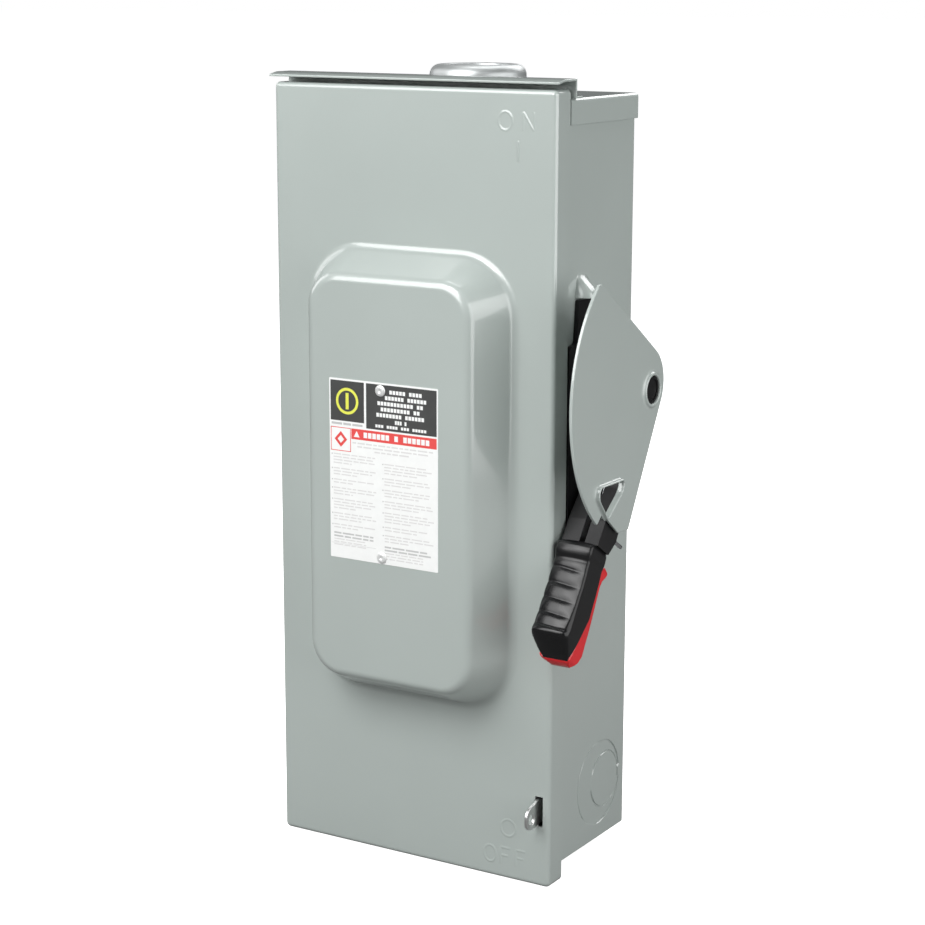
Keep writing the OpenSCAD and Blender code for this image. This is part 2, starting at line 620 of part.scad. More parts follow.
enclosure_body();
top_endcap();
bottom_endwall();
rain_hood();
hub_plate();
hub_gasket();
hub_screws();
box_hinge_leaves();
hinge_pins();
latch_bracket();
latch_pin();
latch_spring();
latch_tab();
slot_shield();
slot_hood();
handle_guard();
guard_screws();
mechanism_frame();
shaft_bushing();
main_spring();
interlock_lever();
rotor_bearing();
line_base();
line_jaws();
line_lugs();
line_lug_screws();
arc_chutes();
arc_plates();
line_shield();
load_base();
hinge_contacts();
fuse_clips();
fuse_barrels();
fuse_caps();
load_lugs();
load_lug_screws();
ground_bar();
ground_screws();
base_screws();
door_panel();
label_plate();
label_rivets();
door_hinge_leaves();
latch_plate();
interlock_hook();
diagram_sheet();
drive_shaft();
pivot_cap();
handle_arm();
lock_blade();
arm_pin();
grip();
grip_back();
drive_crank();
rotor_bar();
switch_blades();
rotor_crank();
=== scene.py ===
import json
import math
import random

import bmesh
import bpy
from mathutils import Matrix, Vector
from mathutils.geometry import tessellate_polygon


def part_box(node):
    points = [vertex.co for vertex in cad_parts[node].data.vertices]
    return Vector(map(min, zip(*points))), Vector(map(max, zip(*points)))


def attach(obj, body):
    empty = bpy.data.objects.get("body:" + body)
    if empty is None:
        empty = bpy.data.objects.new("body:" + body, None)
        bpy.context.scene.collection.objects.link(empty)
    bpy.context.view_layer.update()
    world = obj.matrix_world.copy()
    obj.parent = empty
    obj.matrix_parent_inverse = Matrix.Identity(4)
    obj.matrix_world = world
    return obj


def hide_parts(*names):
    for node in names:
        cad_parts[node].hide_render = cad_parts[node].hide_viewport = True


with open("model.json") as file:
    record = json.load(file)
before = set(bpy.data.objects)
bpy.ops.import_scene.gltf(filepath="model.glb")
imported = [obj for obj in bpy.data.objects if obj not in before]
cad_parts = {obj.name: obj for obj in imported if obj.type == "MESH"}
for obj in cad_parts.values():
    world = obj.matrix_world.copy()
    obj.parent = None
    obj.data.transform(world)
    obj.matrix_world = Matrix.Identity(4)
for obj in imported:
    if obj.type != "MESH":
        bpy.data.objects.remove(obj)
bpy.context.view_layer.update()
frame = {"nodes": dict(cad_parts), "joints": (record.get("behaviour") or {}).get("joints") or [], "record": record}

MM = 0.001
JOINTS = {j["name"]: j for j in frame["joints"]}
SLOTS = {p["node"]: p["material_slot"] for p in frame["record"]["subparts"]}
BODY_OF = {n: body for body, nodes in frame["record"]["behaviour"]["bodies"].items() for n in nodes}


def box_mm(node):
    """Lowest and highest corner of a CAD node, in millimetres."""
    low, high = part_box(node)
    return low / MM, high / MM


# ---- sizes, in millimetres, set from the frame ----
DOOR_LO, DOOR_HI = box_mm("door_panel")
BODY_LO, BODY_HI = box_mm("enclosure_body")
GUARD_HI = box_mm("handle_guard")[1]
SHIELD_HI = box_mm("slot_shield")[1]
HUB_LO, HUB_HI = box_mm("hub_plate")
LABEL_LO, LABEL_HI = box_mm("label_plate")
TAB_LO, TAB_HI = box_mm("latch_tab")
SHEET = 1.5
DOME_H = 29.6
FACE_Y = DOOR_LO.y + DOME_H
PIVOT = Vector(JOINTS["handle_pivot"]["pos_m"]) / MM
LATCH = Vector(JOINTS["latch_pivot"]["pos_m"]) / MM
OFF_ANGLE = math.radians(57.7)
ARM_DIR = Vector((0, -math.cos(OFF_ANGLE), -math.sin(OFF_ANGLE)))
ARM_FRONT = Vector((0, -math.sin(OFF_ANGLE), math.cos(OFF_ANGLE)))


# ---- outlines ----
def turns(steps):
    """Angles evenly round a full turn."""
    return [2 * math.pi * k / steps for k in range(steps)]


def bend_steps(radius, steps):
    """(inset, drop) pairs round a quarter bend, from its flank to its face."""
    angles = [math.pi / 2 * k / steps for k in range(steps + 1)]
    return [(radius * (1 - math.cos(a)), radius * (1 - math.sin(a))) for a in angles]


def rounded(points, steps=8):
    """Closed outline through points (u, v, corner radius)."""
    count = len(points)
    flat = [Vector(p[:2]) for p in points]
    out = []
    for i, (u, v, radius) in enumerate(points):
        here = flat[i]
        if radius <= 0:
            out.append(here)
            continue
        back = (flat[i - 1] - here).normalized()
        ahead = (flat[(i + 1) % count] - here).normalized()
        half = math.acos(max(-1, min(1, back.dot(ahead)))) / 2
        centre = here + (back + ahead).normalized() * radius / math.sin(half)
        first = here + back * radius / math.tan(half) - centre
        last = here + ahead * radius / math.tan(half) - centre
        start = math.atan2(first.y, first.x)
        turn = (math.atan2(last.y, last.x) - start + 3 * math.pi) % (2 * math.pi) - math.pi
        for k in range(steps + 1):
            a = start + turn * k / steps
            out.append(centre + radius * Vector((math.cos(a), math.sin(a))))
    return out


def oval(u, v, half_u, half_v, steps=28):
    return [Vector((u + half_u * math.cos(a), v + half_v * math.sin(a))) for a in turns(steps)]


def circle(u, v, radius, steps=48):
    return oval(u, v, radius, radius, steps)


def area(loop):
    return sum(a.x * b.y - b.x * a.y for a, b in zip(loop, loop[1:] + loop[:1])) / 2


def turned(loop, left):
    """The loop run anticlockwise if left, or clockwise."""
    return loop if (area(loop) > 0) == left else loop[::-1]


def offset(loop, amount):
    """The loop moved to its left, mitred at its corners."""
    out = []
    for i, here in enumerate(loop):
        a = (here - loop[i - 1]).normalized()
        b = (loop[(i + 1) % len(loop)] - here).normalized()
        side = Vector((-a.y, a.x))
        mitre = (side + Vector((-b.y, b.x))).normalized()
        out.append(here + mitre * amount / max(0.35, mitre.dot(side)))
    return out


def ring_rect(half_u, half_v, radius, side_steps=6, corner_steps=12, mid=(0, 0)):
    """Rounded rectangle with the same number of points whatever its size."""
    arcs = []
    for su, sv, start in ((1, 1, 0), (-1, 1, 90), (-1, -1, 180), (1, -1, 270)):
        cu = mid[0] + su * (half_u - radius)
        cv = mid[1] + sv * (half_v - radius)
        angles = [math.radians(start + 90 * k / corner_steps) for k in range(corner_steps + 1)]
        arcs.append([Vector((cu + radius * math.cos(a), cv + radius * math.sin(a))) for a in angles])
    out = []
    for arc, after in zip(arcs, arcs[1:] + arcs[:1]):
        out += arc + [arc[-1].lerp(after[0], k / side_steps) for k in range(1, side_steps)]
    return out


# ---- places: from outline coordinates and a height to the frame ----
def on_x(u, v, w):
    return Vector((w, u, v)) * MM


def on_y(u, v, w):
    return Vector((u, w, v)) * MM


def on_z(u, v, w):
    return Vector((u, v, w)) * MM


def on_arm(u, v, w):
    """u across the arm, v down it from the shaft, w to its front."""
    return (Vector((u, PIVOT.y, PIVOT.z)) + ARM_DIR * v + ARM_FRONT * w) * MM


# ---- mesh building ----
def add_ring(bm, points):
    return [bm.verts.new(p) for p in points]


def bridge(bm, a, b, closed=True):
    last = len(a) if closed else len(a) - 1
    for i in range(last):
        j = (i + 1) % len(a)
        bm.faces.new((a[i], a[j], b[j], b[i]))


def fill(bm, rings):
    """Flat faces between an outer ring and its holes."""
    loops = [[v.co for v in r] for r in rings]
    verts = [v for r in rings for v in r]
    for tri in tessellate_polygon(loops):
        bm.faces.new([verts[i] for i in tri])


def surface(bm, rings, closed=True, joined=False):
    """Open skin through rings of points. joined also ties the last ring to the first."""
    made = [add_ring(bm, r) for r in rings]
    for a, b in zip(made, made[1:] + (made[:1] if joined else [])):
        bridge(bm, a, b, closed)
    return made


def cap(bm, rings):
    """Flat ends on the first and last rings."""
    bm.faces.new(rings[0])
    bm.faces.new(rings[-1])


def loft(bm, rings):
    """Solid through rings of points."""
    cap(bm, surface(bm, rings))


def plate(bm, loops, low, high, edge, place, steps=3):
    """Flat plate between two heights, with rounded edges.

    The first loop is its outline, and the rest are holes.
    """
    edge_steps = [(inset, drop) for drop, inset in bend_steps(edge, steps)]
    stack = [(inset, high - drop) for inset, drop in edge_steps]
    stack += [(inset, low + drop) for inset, drop in reversed(edge_steps)]
    ends = []
    for i, loop in enumerate(loops):
        loop = turned(loop, i == 0)
        made = surface(bm, [[place(p.x, p.y, w) for p in offset(loop, inset)] for inset, w in stack])
        ends.append((made[0], made[-1]))
    for rings in zip(*ends):
        fill(bm, rings)


def lathe(bm, profile, place, steps=72, joined=False):
    """Skin turned from (radius, height) pairs about the place's own third direction."""
    rings = [[place(r * math.cos(a), r * math.sin(a), h) for a in turns(steps)] for r, h in profile]
    return surface(bm, rings, joined=joined)


def tube(bm, path, radius, steps=10):
    """Round bar along a path of points."""
    rings = []
    side = None
    for i, here in enumerate(path):
        along = (path[min(i + 1, len(path) - 1)] - path[max(i - 1, 0)]).normalized()
        if side is None:
            side = along.orthogonal().normalized()
        side = (side - along * side.dot(along)).normalized()
        up = along.cross(side)
        rings.append([here + (side * math.cos(a) + up * math.sin(a)) * radius for a in turns(steps)])
    loft(bm, rings)


def in_scene(name, data):
    obj = bpy.data.objects.new(name, data)
    bpy.context.scene.collection.objects.link(obj)
    return obj


def mesh_object(name, bm, angle=38, weld=1e-6):
    bmesh.ops.remove_doubles(bm, verts=bm.verts, dist=weld)
    bmesh.ops.recalc_face_normals(bm, faces=bm.faces)
    mesh = bpy.data.meshes.new(name)
    bm.to_mesh(mesh)
    bm.free()
    obj = in_scene(name, mesh)
    shade(obj, angle)
    return obj


def shade(obj, angle):
    obj.data.shade_smooth()
    obj.data.set_sharp_from_angle(angle=math.radians(angle))


def apply_modifiers(obj):
    """Makes the modified mesh the object's own."""
    graph = bpy.context.evaluated_depsgraph_get()
    mesh = bpy.data.meshes.new_from_object(obj.evaluated_get(graph))
    obj.modifiers.clear()
    obj.data = mesh
    shade(obj, 38)


def modify(obj, name, kind, **settings):
    """Adds a modifier with its settings."""
    modifier = obj.modifiers.new(name, kind)
    for setting, value in settings.items():
        setattr(modifier, setting, value)


def even_normals(obj):
    modify(obj, "even_normals", "WEIGHTED_NORMAL", keep_sharp=True, weight=100)


def thicken(obj, even=False):
    """Gives an outer skin the sheet's thickness, inwards."""
    modify(obj, "thickness", "SOLIDIFY", thickness=SHEET * MM, offset=-1, use_even_offset=even)
    apply_modifiers(obj)


def cut_box(obj, low, high):
    """Cuts a box out of obj."""
    bm = bmesh.new()
    bmesh.ops.create_cube(bm, size=1)
    bmesh.ops.scale(bm, verts=bm.verts, vec=(Vector(high) - Vector(low)) * MM)
    bmesh.ops.translate(bm, verts=bm.verts, vec=(Vector(low) + Vector(high)) / 2 * MM)
    cutter = mesh_object("cutter", bm)
    modify(obj, "cut", "BOOLEAN", operation="DIFFERENCE", solver="EXACT", object=cutter)
    apply_modifiers(obj)
    bpy.data.objects.remove(cutter, do_unlink=True)


def outward(obj):
    """Turns an open skin so that its faces look away from the box's middle."""
    middle = Vector((0, -60, 0)) * MM
    score = sum((f.center - middle).dot(f.normal) * f.area for f in obj.data.polygons)
    if score < 0:
        obj.data.flip_normals()


def add_piece(obj, body, slot, replaced=(), materials=None):
    """Gives a piece its materials (by default the one named by its slot), evens its normals, hangs it under its
    body, and hides the CAD nodes it stands for.
    """
    for material in materials or [MATERIALS[slot]]:
        obj.data.materials.append(material)
    even_normals(obj)
    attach(obj, body)
    if replaced:
        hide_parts(*replaced)


# ---- materials ----
MATERIALS = {}  # every material made, by its name


def shades(colour, low, high):
    return tuple(c * low for c in colour), tuple(c * high for c in colour)


class Nodes:
    """Short calls for one material's nodes. Coordinates are the frame's own, in metres."""

    def __init__(self, name):
        MATERIALS[name] = bpy.data.materials.new(name)
        MATERIALS[name].use_nodes = True
        self.tree = MATERIALS[name].node_tree
        self.bsdf = self.tree.nodes["Principled BSDF"]
        self.coords = self.add("TexCoord").outputs["Object"]

    def put(self, value, socket):
        """Sets a socket to a number, colour or vector, or links another socket to it."""
        if isinstance(value, (float, int)):
            socket.default_value = value
        elif isinstance(value, tuple):
            socket.default_value = value if socket.type == "VECTOR" else (*value, 1)
        else:
            self.tree.links.new(value, socket)

    def put_all(self, node, inputs):
        for name, value in inputs.items():
            self.put(value, node.inputs[name.replace("_", " ")])
        return node

    def add(self, kind, **inputs):
        return self.put_all(self.tree.nodes.new("ShaderNode" + kind), inputs)

    def set(self, **inputs):
        self.put_all(self.bsdf, inputs)

    def noise(self, scale, detail=3.0, rough=0.5, stretch=None):
        source = self.coords
        if stretch:
            source = self.add("Mapping", Vector=source, Scale=stretch).outputs["Vector"]
        node = self.add("TexNoise", Vector=source, Scale=scale, Detail=detail, Roughness=rough)
        return node.outputs["Fac"]

    def span(self, value, low, high, to_low, to_high):
        node = self.add("MapRange", Value=value, From_Min=low, From_Max=high, To_Min=to_low, To_Max=to_high)
        return node.outputs["Result"]

    def times(self, a, b):
        node = self.add("Math")
        node.operation = "MULTIPLY"
        self.put(a, node.inputs[0])
        self.put(b, node.inputs[1])
        return node.outputs["Value"]

    def mix(self, factor, a, b):
        """Colour between a and b; each is a colour or a socket."""
        node = self.add("Mix")
        node.data_type = "RGBA"
        self.put(factor, node.inputs["Factor"])
        self.put(a, node.inputs[6])
        self.put(b, node.inputs[7])
        return node.outputs[2]

    def cloudy(self, colour, low, high, *noise):
        """The colour, drifting between two shares of its brightness."""
        return self.mix(self.span(self.noise(*noise), 0.3, 0.7, 0, 1), *shades(colour, low, high))

    def edges(self, radius):
        """1 on sharp edges within the radius, 0 on flat faces."""
        bevel = self.add("Bevel", Radius=radius)
        bevel.samples = 4
        dot = self.add("VectorMath")
        dot.operation = "DOT_PRODUCT"
        self.put(bevel.outputs["Normal"], dot.inputs[0])
        self.put(self.add("NewGeometry").outputs["Normal"], dot.inputs[1])
        return self.span(dot.outputs["Value"], 0.995, 0.88, 0, 1)

    def bump(self, *parts):
        """Each part is (height socket, depth in metres)."""
        normal = None
        for height, depth in parts:
            node = self.add("Bump", Strength=1.0, Distance=depth, Height=height)
            if normal:
                self.put(normal, node.inputs["Normal"])
            normal = node.outputs["Normal"]
        self.set(Normal=normal)


def paint(name, colour, gloss=0.30, worn=(0.52, 0.53, 0.52), wear=0.4):
    """Baked enamel over steel: faint cloudiness, orange peel, and rubbed edges."""
    n = Nodes(name)
    scuffs = n.span(n.noise(340, 5, 0.65), 0.5, 0.72, 0, wear)
    rubbed = n.times(n.edges(0.0009), scuffs)
    n.set(Base_Color=n.mix(rubbed, n.cloudy(colour, 0.965, 1.03, 7, 4), worn), Specular_IOR_Level=0.7,
          Roughness=n.span(n.noise(13, 1, 0.3), 0, 1, gloss - 0.03, gloss + 0.03),
          Coat_Weight=1.0, Coat_Roughness=0.09)
    n.bump((n.noise(9, 1), 0.0003), (n.noise(230, 2, 0.4), 0.000005))


def metal(name, colour, rough=0.3, grain=None, depth=0.000002, tarnish=0.12, metallic=1.0):
    """Bare or plated metal with directional grain and faint tarnish."""
    n = Nodes(name)
    dark, light = shades(colour, 1 - tarnish, 1 + tarnish / 3)
    fine = n.noise(260, 2, 0.5, grain)
    base = n.mix(n.span(n.noise(38, 3, 0.5), 0.3, 0.75, 0, 1), dark, light)
    bright = n.mix(n.edges(0.0006), base, tuple(min(1.0, c * 1.18) for c in colour))
    n.set(Base_Color=bright, Metallic=metallic, Roughness=n.span(fine, 0, 1, rough - 0.07, rough + 0.09))
    n.bump((fine, depth))


def plastic(name, colour, rough=0.3, depth=0.00001, scale=700, worn=1.6, coat=0.0, shine=0.5):
    """Moulded plastic with a fine skin and edges rubbed lighter."""
    n = Nodes(name)
    scuffs = n.span(n.noise(300, 5, 0.65), 0.42, 0.7, 0, 0.7)
    pale = tuple(min(1.0, c * worn + 0.012) for c in colour)
    rubbed = n.times(n.edges(0.0007), scuffs)
    n.set(Base_Color=n.mix(rubbed, n.cloudy(colour, 0.88, 1.12, 22, 4), pale), Specular_IOR_Level=shine,
          Coat_Weight=coat, Coat_Roughness=0.12,
          Roughness=n.span(n.noise(24, 2, 0.4), 0, 1, rough - 0.12, rough + 0.14))
    n.bump((n.noise(scale, 3, 0.5), depth))


def speckled(name, colour, fleck, rough=0.55):
    """Glass-filled moulding compound with pale flecks."""
    n = Nodes(name)
    flecks = n.span(n.noise(1500, 2, 0.5), 0.66, 0.72, 0, 0.6)
    n.set(Base_Color=n.mix(flecks, n.cloudy(colour, 0.8, 1.2, 90, 5, 0.7), fleck),
          Roughness=n.span(n.noise(300, 4), 0.3, 0.7, rough - 0.1, rough + 0.1))
    n.bump((n.noise(600, 4), 0.00002))


def clear(name):
    """Clear polycarbonate with handling haze."""
    n = Nodes(name)
    haze = n.noise(30, 5, 0.7)
    n.set(Base_Color=n.mix(haze, (0.86, 0.92, 0.94), (0.95, 0.98, 0.99)), IOR=1.58, Transmission_Weight=0.92,
          Roughness=n.span(haze, 0.35, 0.7, 0.04, 0.14))
    n.bump((n.noise(40, 2), 0.00004))


def ink(name, colour, rough=0.4):
    n = Nodes(name)
    dark, light = shades(colour, 0.94, 1.05)
    n.set(Base_Color=n.mix(n.noise(160, 4, 0.6), dark, light),
          Roughness=n.span(n.noise(80, 3), 0.3, 0.7, rough - 0.06, rough + 0.06))
    n.bump((n.noise(1200, 2), 0.000004))


GREY = (0.392, 0.437, 0.417)
paint("grey_paint", GREY)
metal("cast_zinc", (0.50, 0.52, 0.52), 0.42, depth=0.00002, metallic=0.75)
metal("zinc_plate", (0.80, 0.81, 0.80), 0.30, (1, 1, 4))
metal("bright_zinc", (0.88, 0.89, 0.88), 0.36, metallic=0.5)
metal("bare_steel", (0.56, 0.57, 0.58), 0.28, (1, 6, 6))
metal("bronze", (0.62, 0.44, 0.22), 0.34)
metal("copper", (0.86, 0.55, 0.40), 0.32, (1, 1, 4), tarnish=0.15)
metal("lug_metal", (0.74, 0.75, 0.76), 0.34, (1, 5, 1))
metal("lug_screw", (0.34, 0.35, 0.37), 0.32)
paint("green_screw", (0.05, 0.26, 0.10), 0.3)
plastic("gasket", (0.018, 0.018, 0.018), 0.7, 0.00004, 500)
plastic("black_plastic", (0.005, 0.005, 0.0055), 0.29, 0.000012, 400, 2.0, 0.08, 0.34)
plastic("black_metal", (0.007, 0.007, 0.0075), 0.46, 0.00001, 300, 3.0, 0.0, 0.3)
plastic("red_plastic", (0.60, 0.012, 0.018), 0.34, 0.000016, 500, 1.2, 0.2)
speckled("moulded_base", (0.155, 0.048, 0.032), (0.34, 0.20, 0.15))
speckled("arc_fibre", (0.075, 0.030, 0.022), (0.2, 0.12, 0.09), 0.75)
clear("clear_shield")
speckled("fuse_barrel", (0.22, 0.42, 0.28), (0.4, 0.58, 0.44), 0.5)
ink("label_film", (0.83, 0.84, 0.83), 0.34)
INK_COLOURS = {
    "black": (0.055, 0.056, 0.055), "red": (0.72, 0.075, 0.07), "gold": (0.72, 0.74, 0.10),
    "grey": (0.50, 0.50, 0.50), "pale": (0.66, 0.655, 0.65),
}
for ink_name, ink_colour in INK_COLOURS.items():
    ink("ink_" + ink_name, ink_colour)
INK_NAMES = ["white"] + list(INK_COLOURS)
INK_MATERIALS = [MATERIALS["label_film"]] + [MATERIALS["ink_" + name] for name in INK_COLOURS]


# ---- CAD nodes that stay: softened edges and their own material ----
EDGE_WIDTHS = {  # rounding of each node's edges, 0.25 where it isn't named
    "bottom_endwall": 0.5, "rain_hood": 0.35, "slot_shield": 0.5, "handle_arm": 0.8,
    "box_hinge_leaves": 0.4, "door_hinge_leaves": 0.35, "line_base": 0.7, "load_base": 0.7,
    "line_lugs": 0.8, "load_lugs": 0.8, "fuse_clips": 0.3, "fuse_caps": 0.8, "fuse_barrels": 0.4,
    "lock_blade": 0.2, "pivot_cap": 0.6, "hub_screws": 0.5, "diagram_sheet": 0.05,
}


def soften(obj, width):
    modify(obj, "weld", "WELD", merge_threshold=2e-6)
    modify(obj, "soft_edges", "BEVEL", width=width * MM, segments=3, limit_method="ANGLE",
           angle_limit=math.radians(40), harden_normals=False)
    even_normals(obj)


def dress_cad_nodes():
    for name, obj in frame["nodes"].items():
        obj.data.materials.clear()
        obj.data.materials.append(MATERIALS[SLOTS[name]])
        for polygon in obj.data.polygons:
            polygon.use_smooth = True
        soften(obj, EDGE_WIDTHS.get(name, 0.25))


# ---- door ----
# half width and half height of the dome's foot and of its flat front
DOME_BASE = (83.5, 154.95)
DOME_TOP = (56.5, 131.5)
DOME_MID = 2.45
DOME_CORNERS = (44, 17)
DOME_FILLET = 8
DOME_ROUND = 9
DOME_SLOPE = math.radians(60)
BEND = 3.0
# left, right, bottom and top of the latch slot
SLOT = (96.9, 102.9, DOOR_LO.z + 42.1, DOOR_LO.z + 63.1)


def dome_profile(steps=9):
    """(inset, height) from the flat of the door to the flat of the dome."""
    run = DOME_BASE[0] - DOME_TOP[0]
    angles = [DOME_SLOPE * k / steps for k in range(steps + 1)]
    foot = [(DOME_FILLET * math.sin(a), DOME_FILLET * (1 - math.cos(a))) for a in angles]
    brow = [(run - DOME_ROUND * math.sin(a), DOME_H - DOME_ROUND * (1 - math.cos(a))) for a in angles]
    return foot + brow[::-1]


def door_rings():
    """Outer skin of the door as rings, from the flanges' free edge to the dome's front.

    Each ring is half its width, half its height, its corner radius, its middle and its depth.
    """
    mid = (0, (DOOR_LO.z + DOOR_HI.z) / 2)
    half_x, half_z = DOOR_HI.x, (DOOR_HI.z - DOOR_LO.z) / 2
    corner = BEND + 0.4
    rings = [(half_x, half_z, corner, mid, DOOR_HI.y)]
    rings += [(half_x - inset, half_z - inset, corner - inset, mid, FACE_Y + drop)
              for inset, drop in bend_steps(BEND, 8)]
    margin = 0.8
    rings.append((half_x - BEND - margin, half_z - BEND - margin, 0.4, mid, FACE_Y))
    dome_mid = (0, DOME_MID)
    rings.append((DOME_BASE[0] + margin, DOME_BASE[1] + margin, DOME_CORNERS[0] + margin, dome_mid, FACE_Y))
    run = DOME_BASE[0] - DOME_TOP[0]
    for inset, height in dome_profile():
        share = inset / run
        tall = DOME_BASE[1] + (DOME_TOP[1] - DOME_BASE[1]) * share
        round_off = DOME_CORNERS[0] + (DOME_CORNERS[1] - DOME_CORNERS[0]) * share
        rings.append((DOME_BASE[0] - inset, tall, round_off, dome_mid, FACE_Y - height))
    rings.append((DOME_TOP[0] - 1, DOME_TOP[1] - 1, DOME_CORNERS[1] - 1, dome_mid, DOOR_LO.y))
    return rings


def door_skin():
    bm = bmesh.new()
    rings = []
    for half_x, half_z, corner, mid, y in door_rings():
        rings.append([on_y(p.x, p.y, y) for p in ring_rect(half_x, half_z, corner, 6, 14, mid)])
    bm.faces.new(surface(bm, rings)[-1])
    obj = mesh_object("door_skin", bm)
    thicken(obj, even=True)
    cut_box(obj, (SLOT[0], FACE_Y - 4, SLOT[2]), (SLOT[1], FACE_Y + 6, SLOT[3]))
    modify(obj, "edge", "BEVEL", width=0.25 * MM, segments=2, limit_method="ANGLE",
           angle_limit=math.radians(60))
    apply_modifiers(obj)
    add_piece(obj, "door", "grey_paint", ["door_panel"])


def stroke(bm, path, closed=False, width=1.2, height=0.24):
    """Raised pressed line on the door's face along a path in (x, z)."""
    count = len(path)
    across = [-1, -0.62, -0.28, 0.0, 0.28, 0.62, 1]
    rings = []
    for i, here in enumerate(path):
        ahead = path[(i + 1) % count] if closed or i + 1 < count else here
        behind = path[i - 1] if closed or i else here
        along = (ahead - behind).normalized()
        side = Vector((-along.y, along.x))
        end = not closed and i in (0, count - 1)
        rise = 0.0 if end else height
        top = [(here + side * width * a, rise * (0.5 + 0.5 * math.cos(math.pi * a))) for a in across]
        under = [(here + side * width, -0.4), (here - side * width, -0.4)]
        rings.append([on_y(p.x, p.y, FACE_Y - 0.02 - h) for p, h in top + under])
    made = surface(bm, rings, joined=closed)
    if not closed:
        cap(bm, made)


def bar(bm, x0, z0, x1, z1, height=0.24, gap=1.3):
    """Straight stroke whose ends taper over the gap."""
    start, end = Vector((x0, z0)), Vector((x1, z1))
    step = (end - start).normalized() * gap
    stroke(bm, [start, start + step, end - step, end], height=height)


def door_marks():
    """Pressed ON and I at the top, O and OFF at the bottom."""
    bm = bmesh.new()
    high = DOOR_HI.z - 20
    low = DOOR_LO.z + 16
    ring_z = DOOR_LO.z + 36.5
    stroke(bm, oval(71, high, 5, 5.8), True)
    stroke(bm, oval(76.5, ring_z, 5.6, 5.8), True)
    stroke(bm, oval(62.5, low, 4.6, 5.8), True)
    bar(bm, 80.4, high - 25.5, 80.4, high - 12, 0.5)
    for x0, z0, x1, z1 in ((84, -6, 84, 6), (84, 6, 92, -6), (92, -6, 92, 6)):
        bar(bm, x0, high + z0, x1, high + z1)
    for x in (70.6, 82.6):
        for u0, z0, u1, z1 in ((0, -6, 0, 6), (0, 6, 7.4, 6), (0, 0.4, 6, 0.4)):
            bar(bm, x + u0, low + z0, x + u1, low + z1)
    add_piece(mesh_object("door_marks", bm, 60), "door", "grey_paint")


# ---- label ----
LABEL_W = LABEL_HI.x - LABEL_LO.x
LABEL_H = LABEL_HI.z - LABEL_LO.z
INK_ROOM = 0.06
INK_LIFT = 0.03
TOP_LIFT = 0.05
RIVETS = [(-4.5, LABEL_HI.z - 5.3), (-4, LABEL_LO.z + 4.3)]


class Print:
    """Flat printed patches on a sheet. Shares run 0..1 from the sheet's upper left corner."""

    def __init__(self, low, high, face, toward=-1):
        self.bm = bmesh.new()
        self.low, self.high, self.face, self.toward = low, high, face, toward

    def at(self, u, v):
        return (self.low.x + u * (self.high.x - self.low.x), self.high.z - v * (self.high.z - self.low.z))

    def shape(self, points, ink_name, lift=INK_LIFT):
        """points are (u, v) shares around a patch."""
        spots = [self.at(u, v) for u, v in points]
        low = self.face - self.toward * 0.05
        high = self.face + self.toward * lift
        first = len(self.bm.faces)
        loft(self.bm, [[on_y(x, z, y) for x, z in spots] for y in (low, high)])
        self.bm.faces.ensure_lookup_table()
        for face in self.bm.faces[first:]:
            face.material_index = INK_NAMES.index(ink_name)

    def rect(self, u0, v0, u1, v1, ink_name, lift=INK_LIFT):
        self.shape([(u0, v0), (u1, v0), (u1, v1), (u0, v1)], ink_name, lift)

    def line(self, rng, u0, u1, v, height, ink_name, word=(0.03, 0.10), gap=0.012):
        """One printed line as plain dashes."""
        u = u0
        while u < u1 - word[0] / 2:
            end = min(u1, u + rng.uniform(*word))
            self.rect(u, v, end, v + height, ink_name)
            u = end + gap

    def blocks(self, u0, u1, v, height, ink_name, count, spaces=()):
        """A bold line as a row of plain blocks with some left out."""
        pitch = (u1 - u0) / count
        for i in range(count):
            if i not in spaces:
                self.rect(u0 + pitch * i, v, u0 + pitch * (i + 0.8), v + height, ink_name, TOP_LIFT)


def sheet_outline(low, high, radius):
    return ring_rect((high.x - low.x) / 2, (high.z - low.z) / 2, radius, 1, 3,
                     ((low.x + high.x) / 2, (low.z + high.z) / 2))


def label():
    """White film with plain printed patches, and a hole for each rivet."""
    face = LABEL_LO.y + INK_ROOM
    p = Print(LABEL_LO, LABEL_HI, face)
    holes = [circle(x, z, 2.4, 24) for x, z in RIVETS]
    plate(p.bm, [sheet_outline(LABEL_LO, LABEL_HI, 0.6)] + holes, face, LABEL_HI.y, 0.06, on_y, 2)
    p.rect(0.012, 0.01, 0.325, 0.232, "black")
    p.rect(0.345, 0.01, 0.988, 0.258, "black")
    p.rect(0.205, 0.268, 0.988, 0.326, "red")
    emblem(p)
    symbol(p)
    bold_lines(p)
    small_lines(p)
    add_piece(mesh_object("label", p.bm, 40, 1e-7), "door", "label_film", ["label_plate"], INK_MATERIALS)


def emblem(p):
    """Plain gold ring and bar in the black square."""
    mid, tall = (0.168, 0.121), LABEL_W / LABEL_H
    outer, inner = 0.105, 0.083
    bar_u, bar_v = 0.014, 0.045
    steps = 32
    for k in range(steps):
        a, b = (2 * math.pi * i / steps for i in (k, k + 1))
        p.shape([(mid[0] + r * math.cos(t), mid[1] + r * tall * math.sin(t))
                 for r, t in ((outer, a), (outer, b), (inner, b), (inner, a))], "gold", TOP_LIFT)
    p.rect(mid[0] - bar_u, mid[1] - bar_v, mid[0] + bar_u, mid[1] + bar_v, "gold", TOP_LIFT)


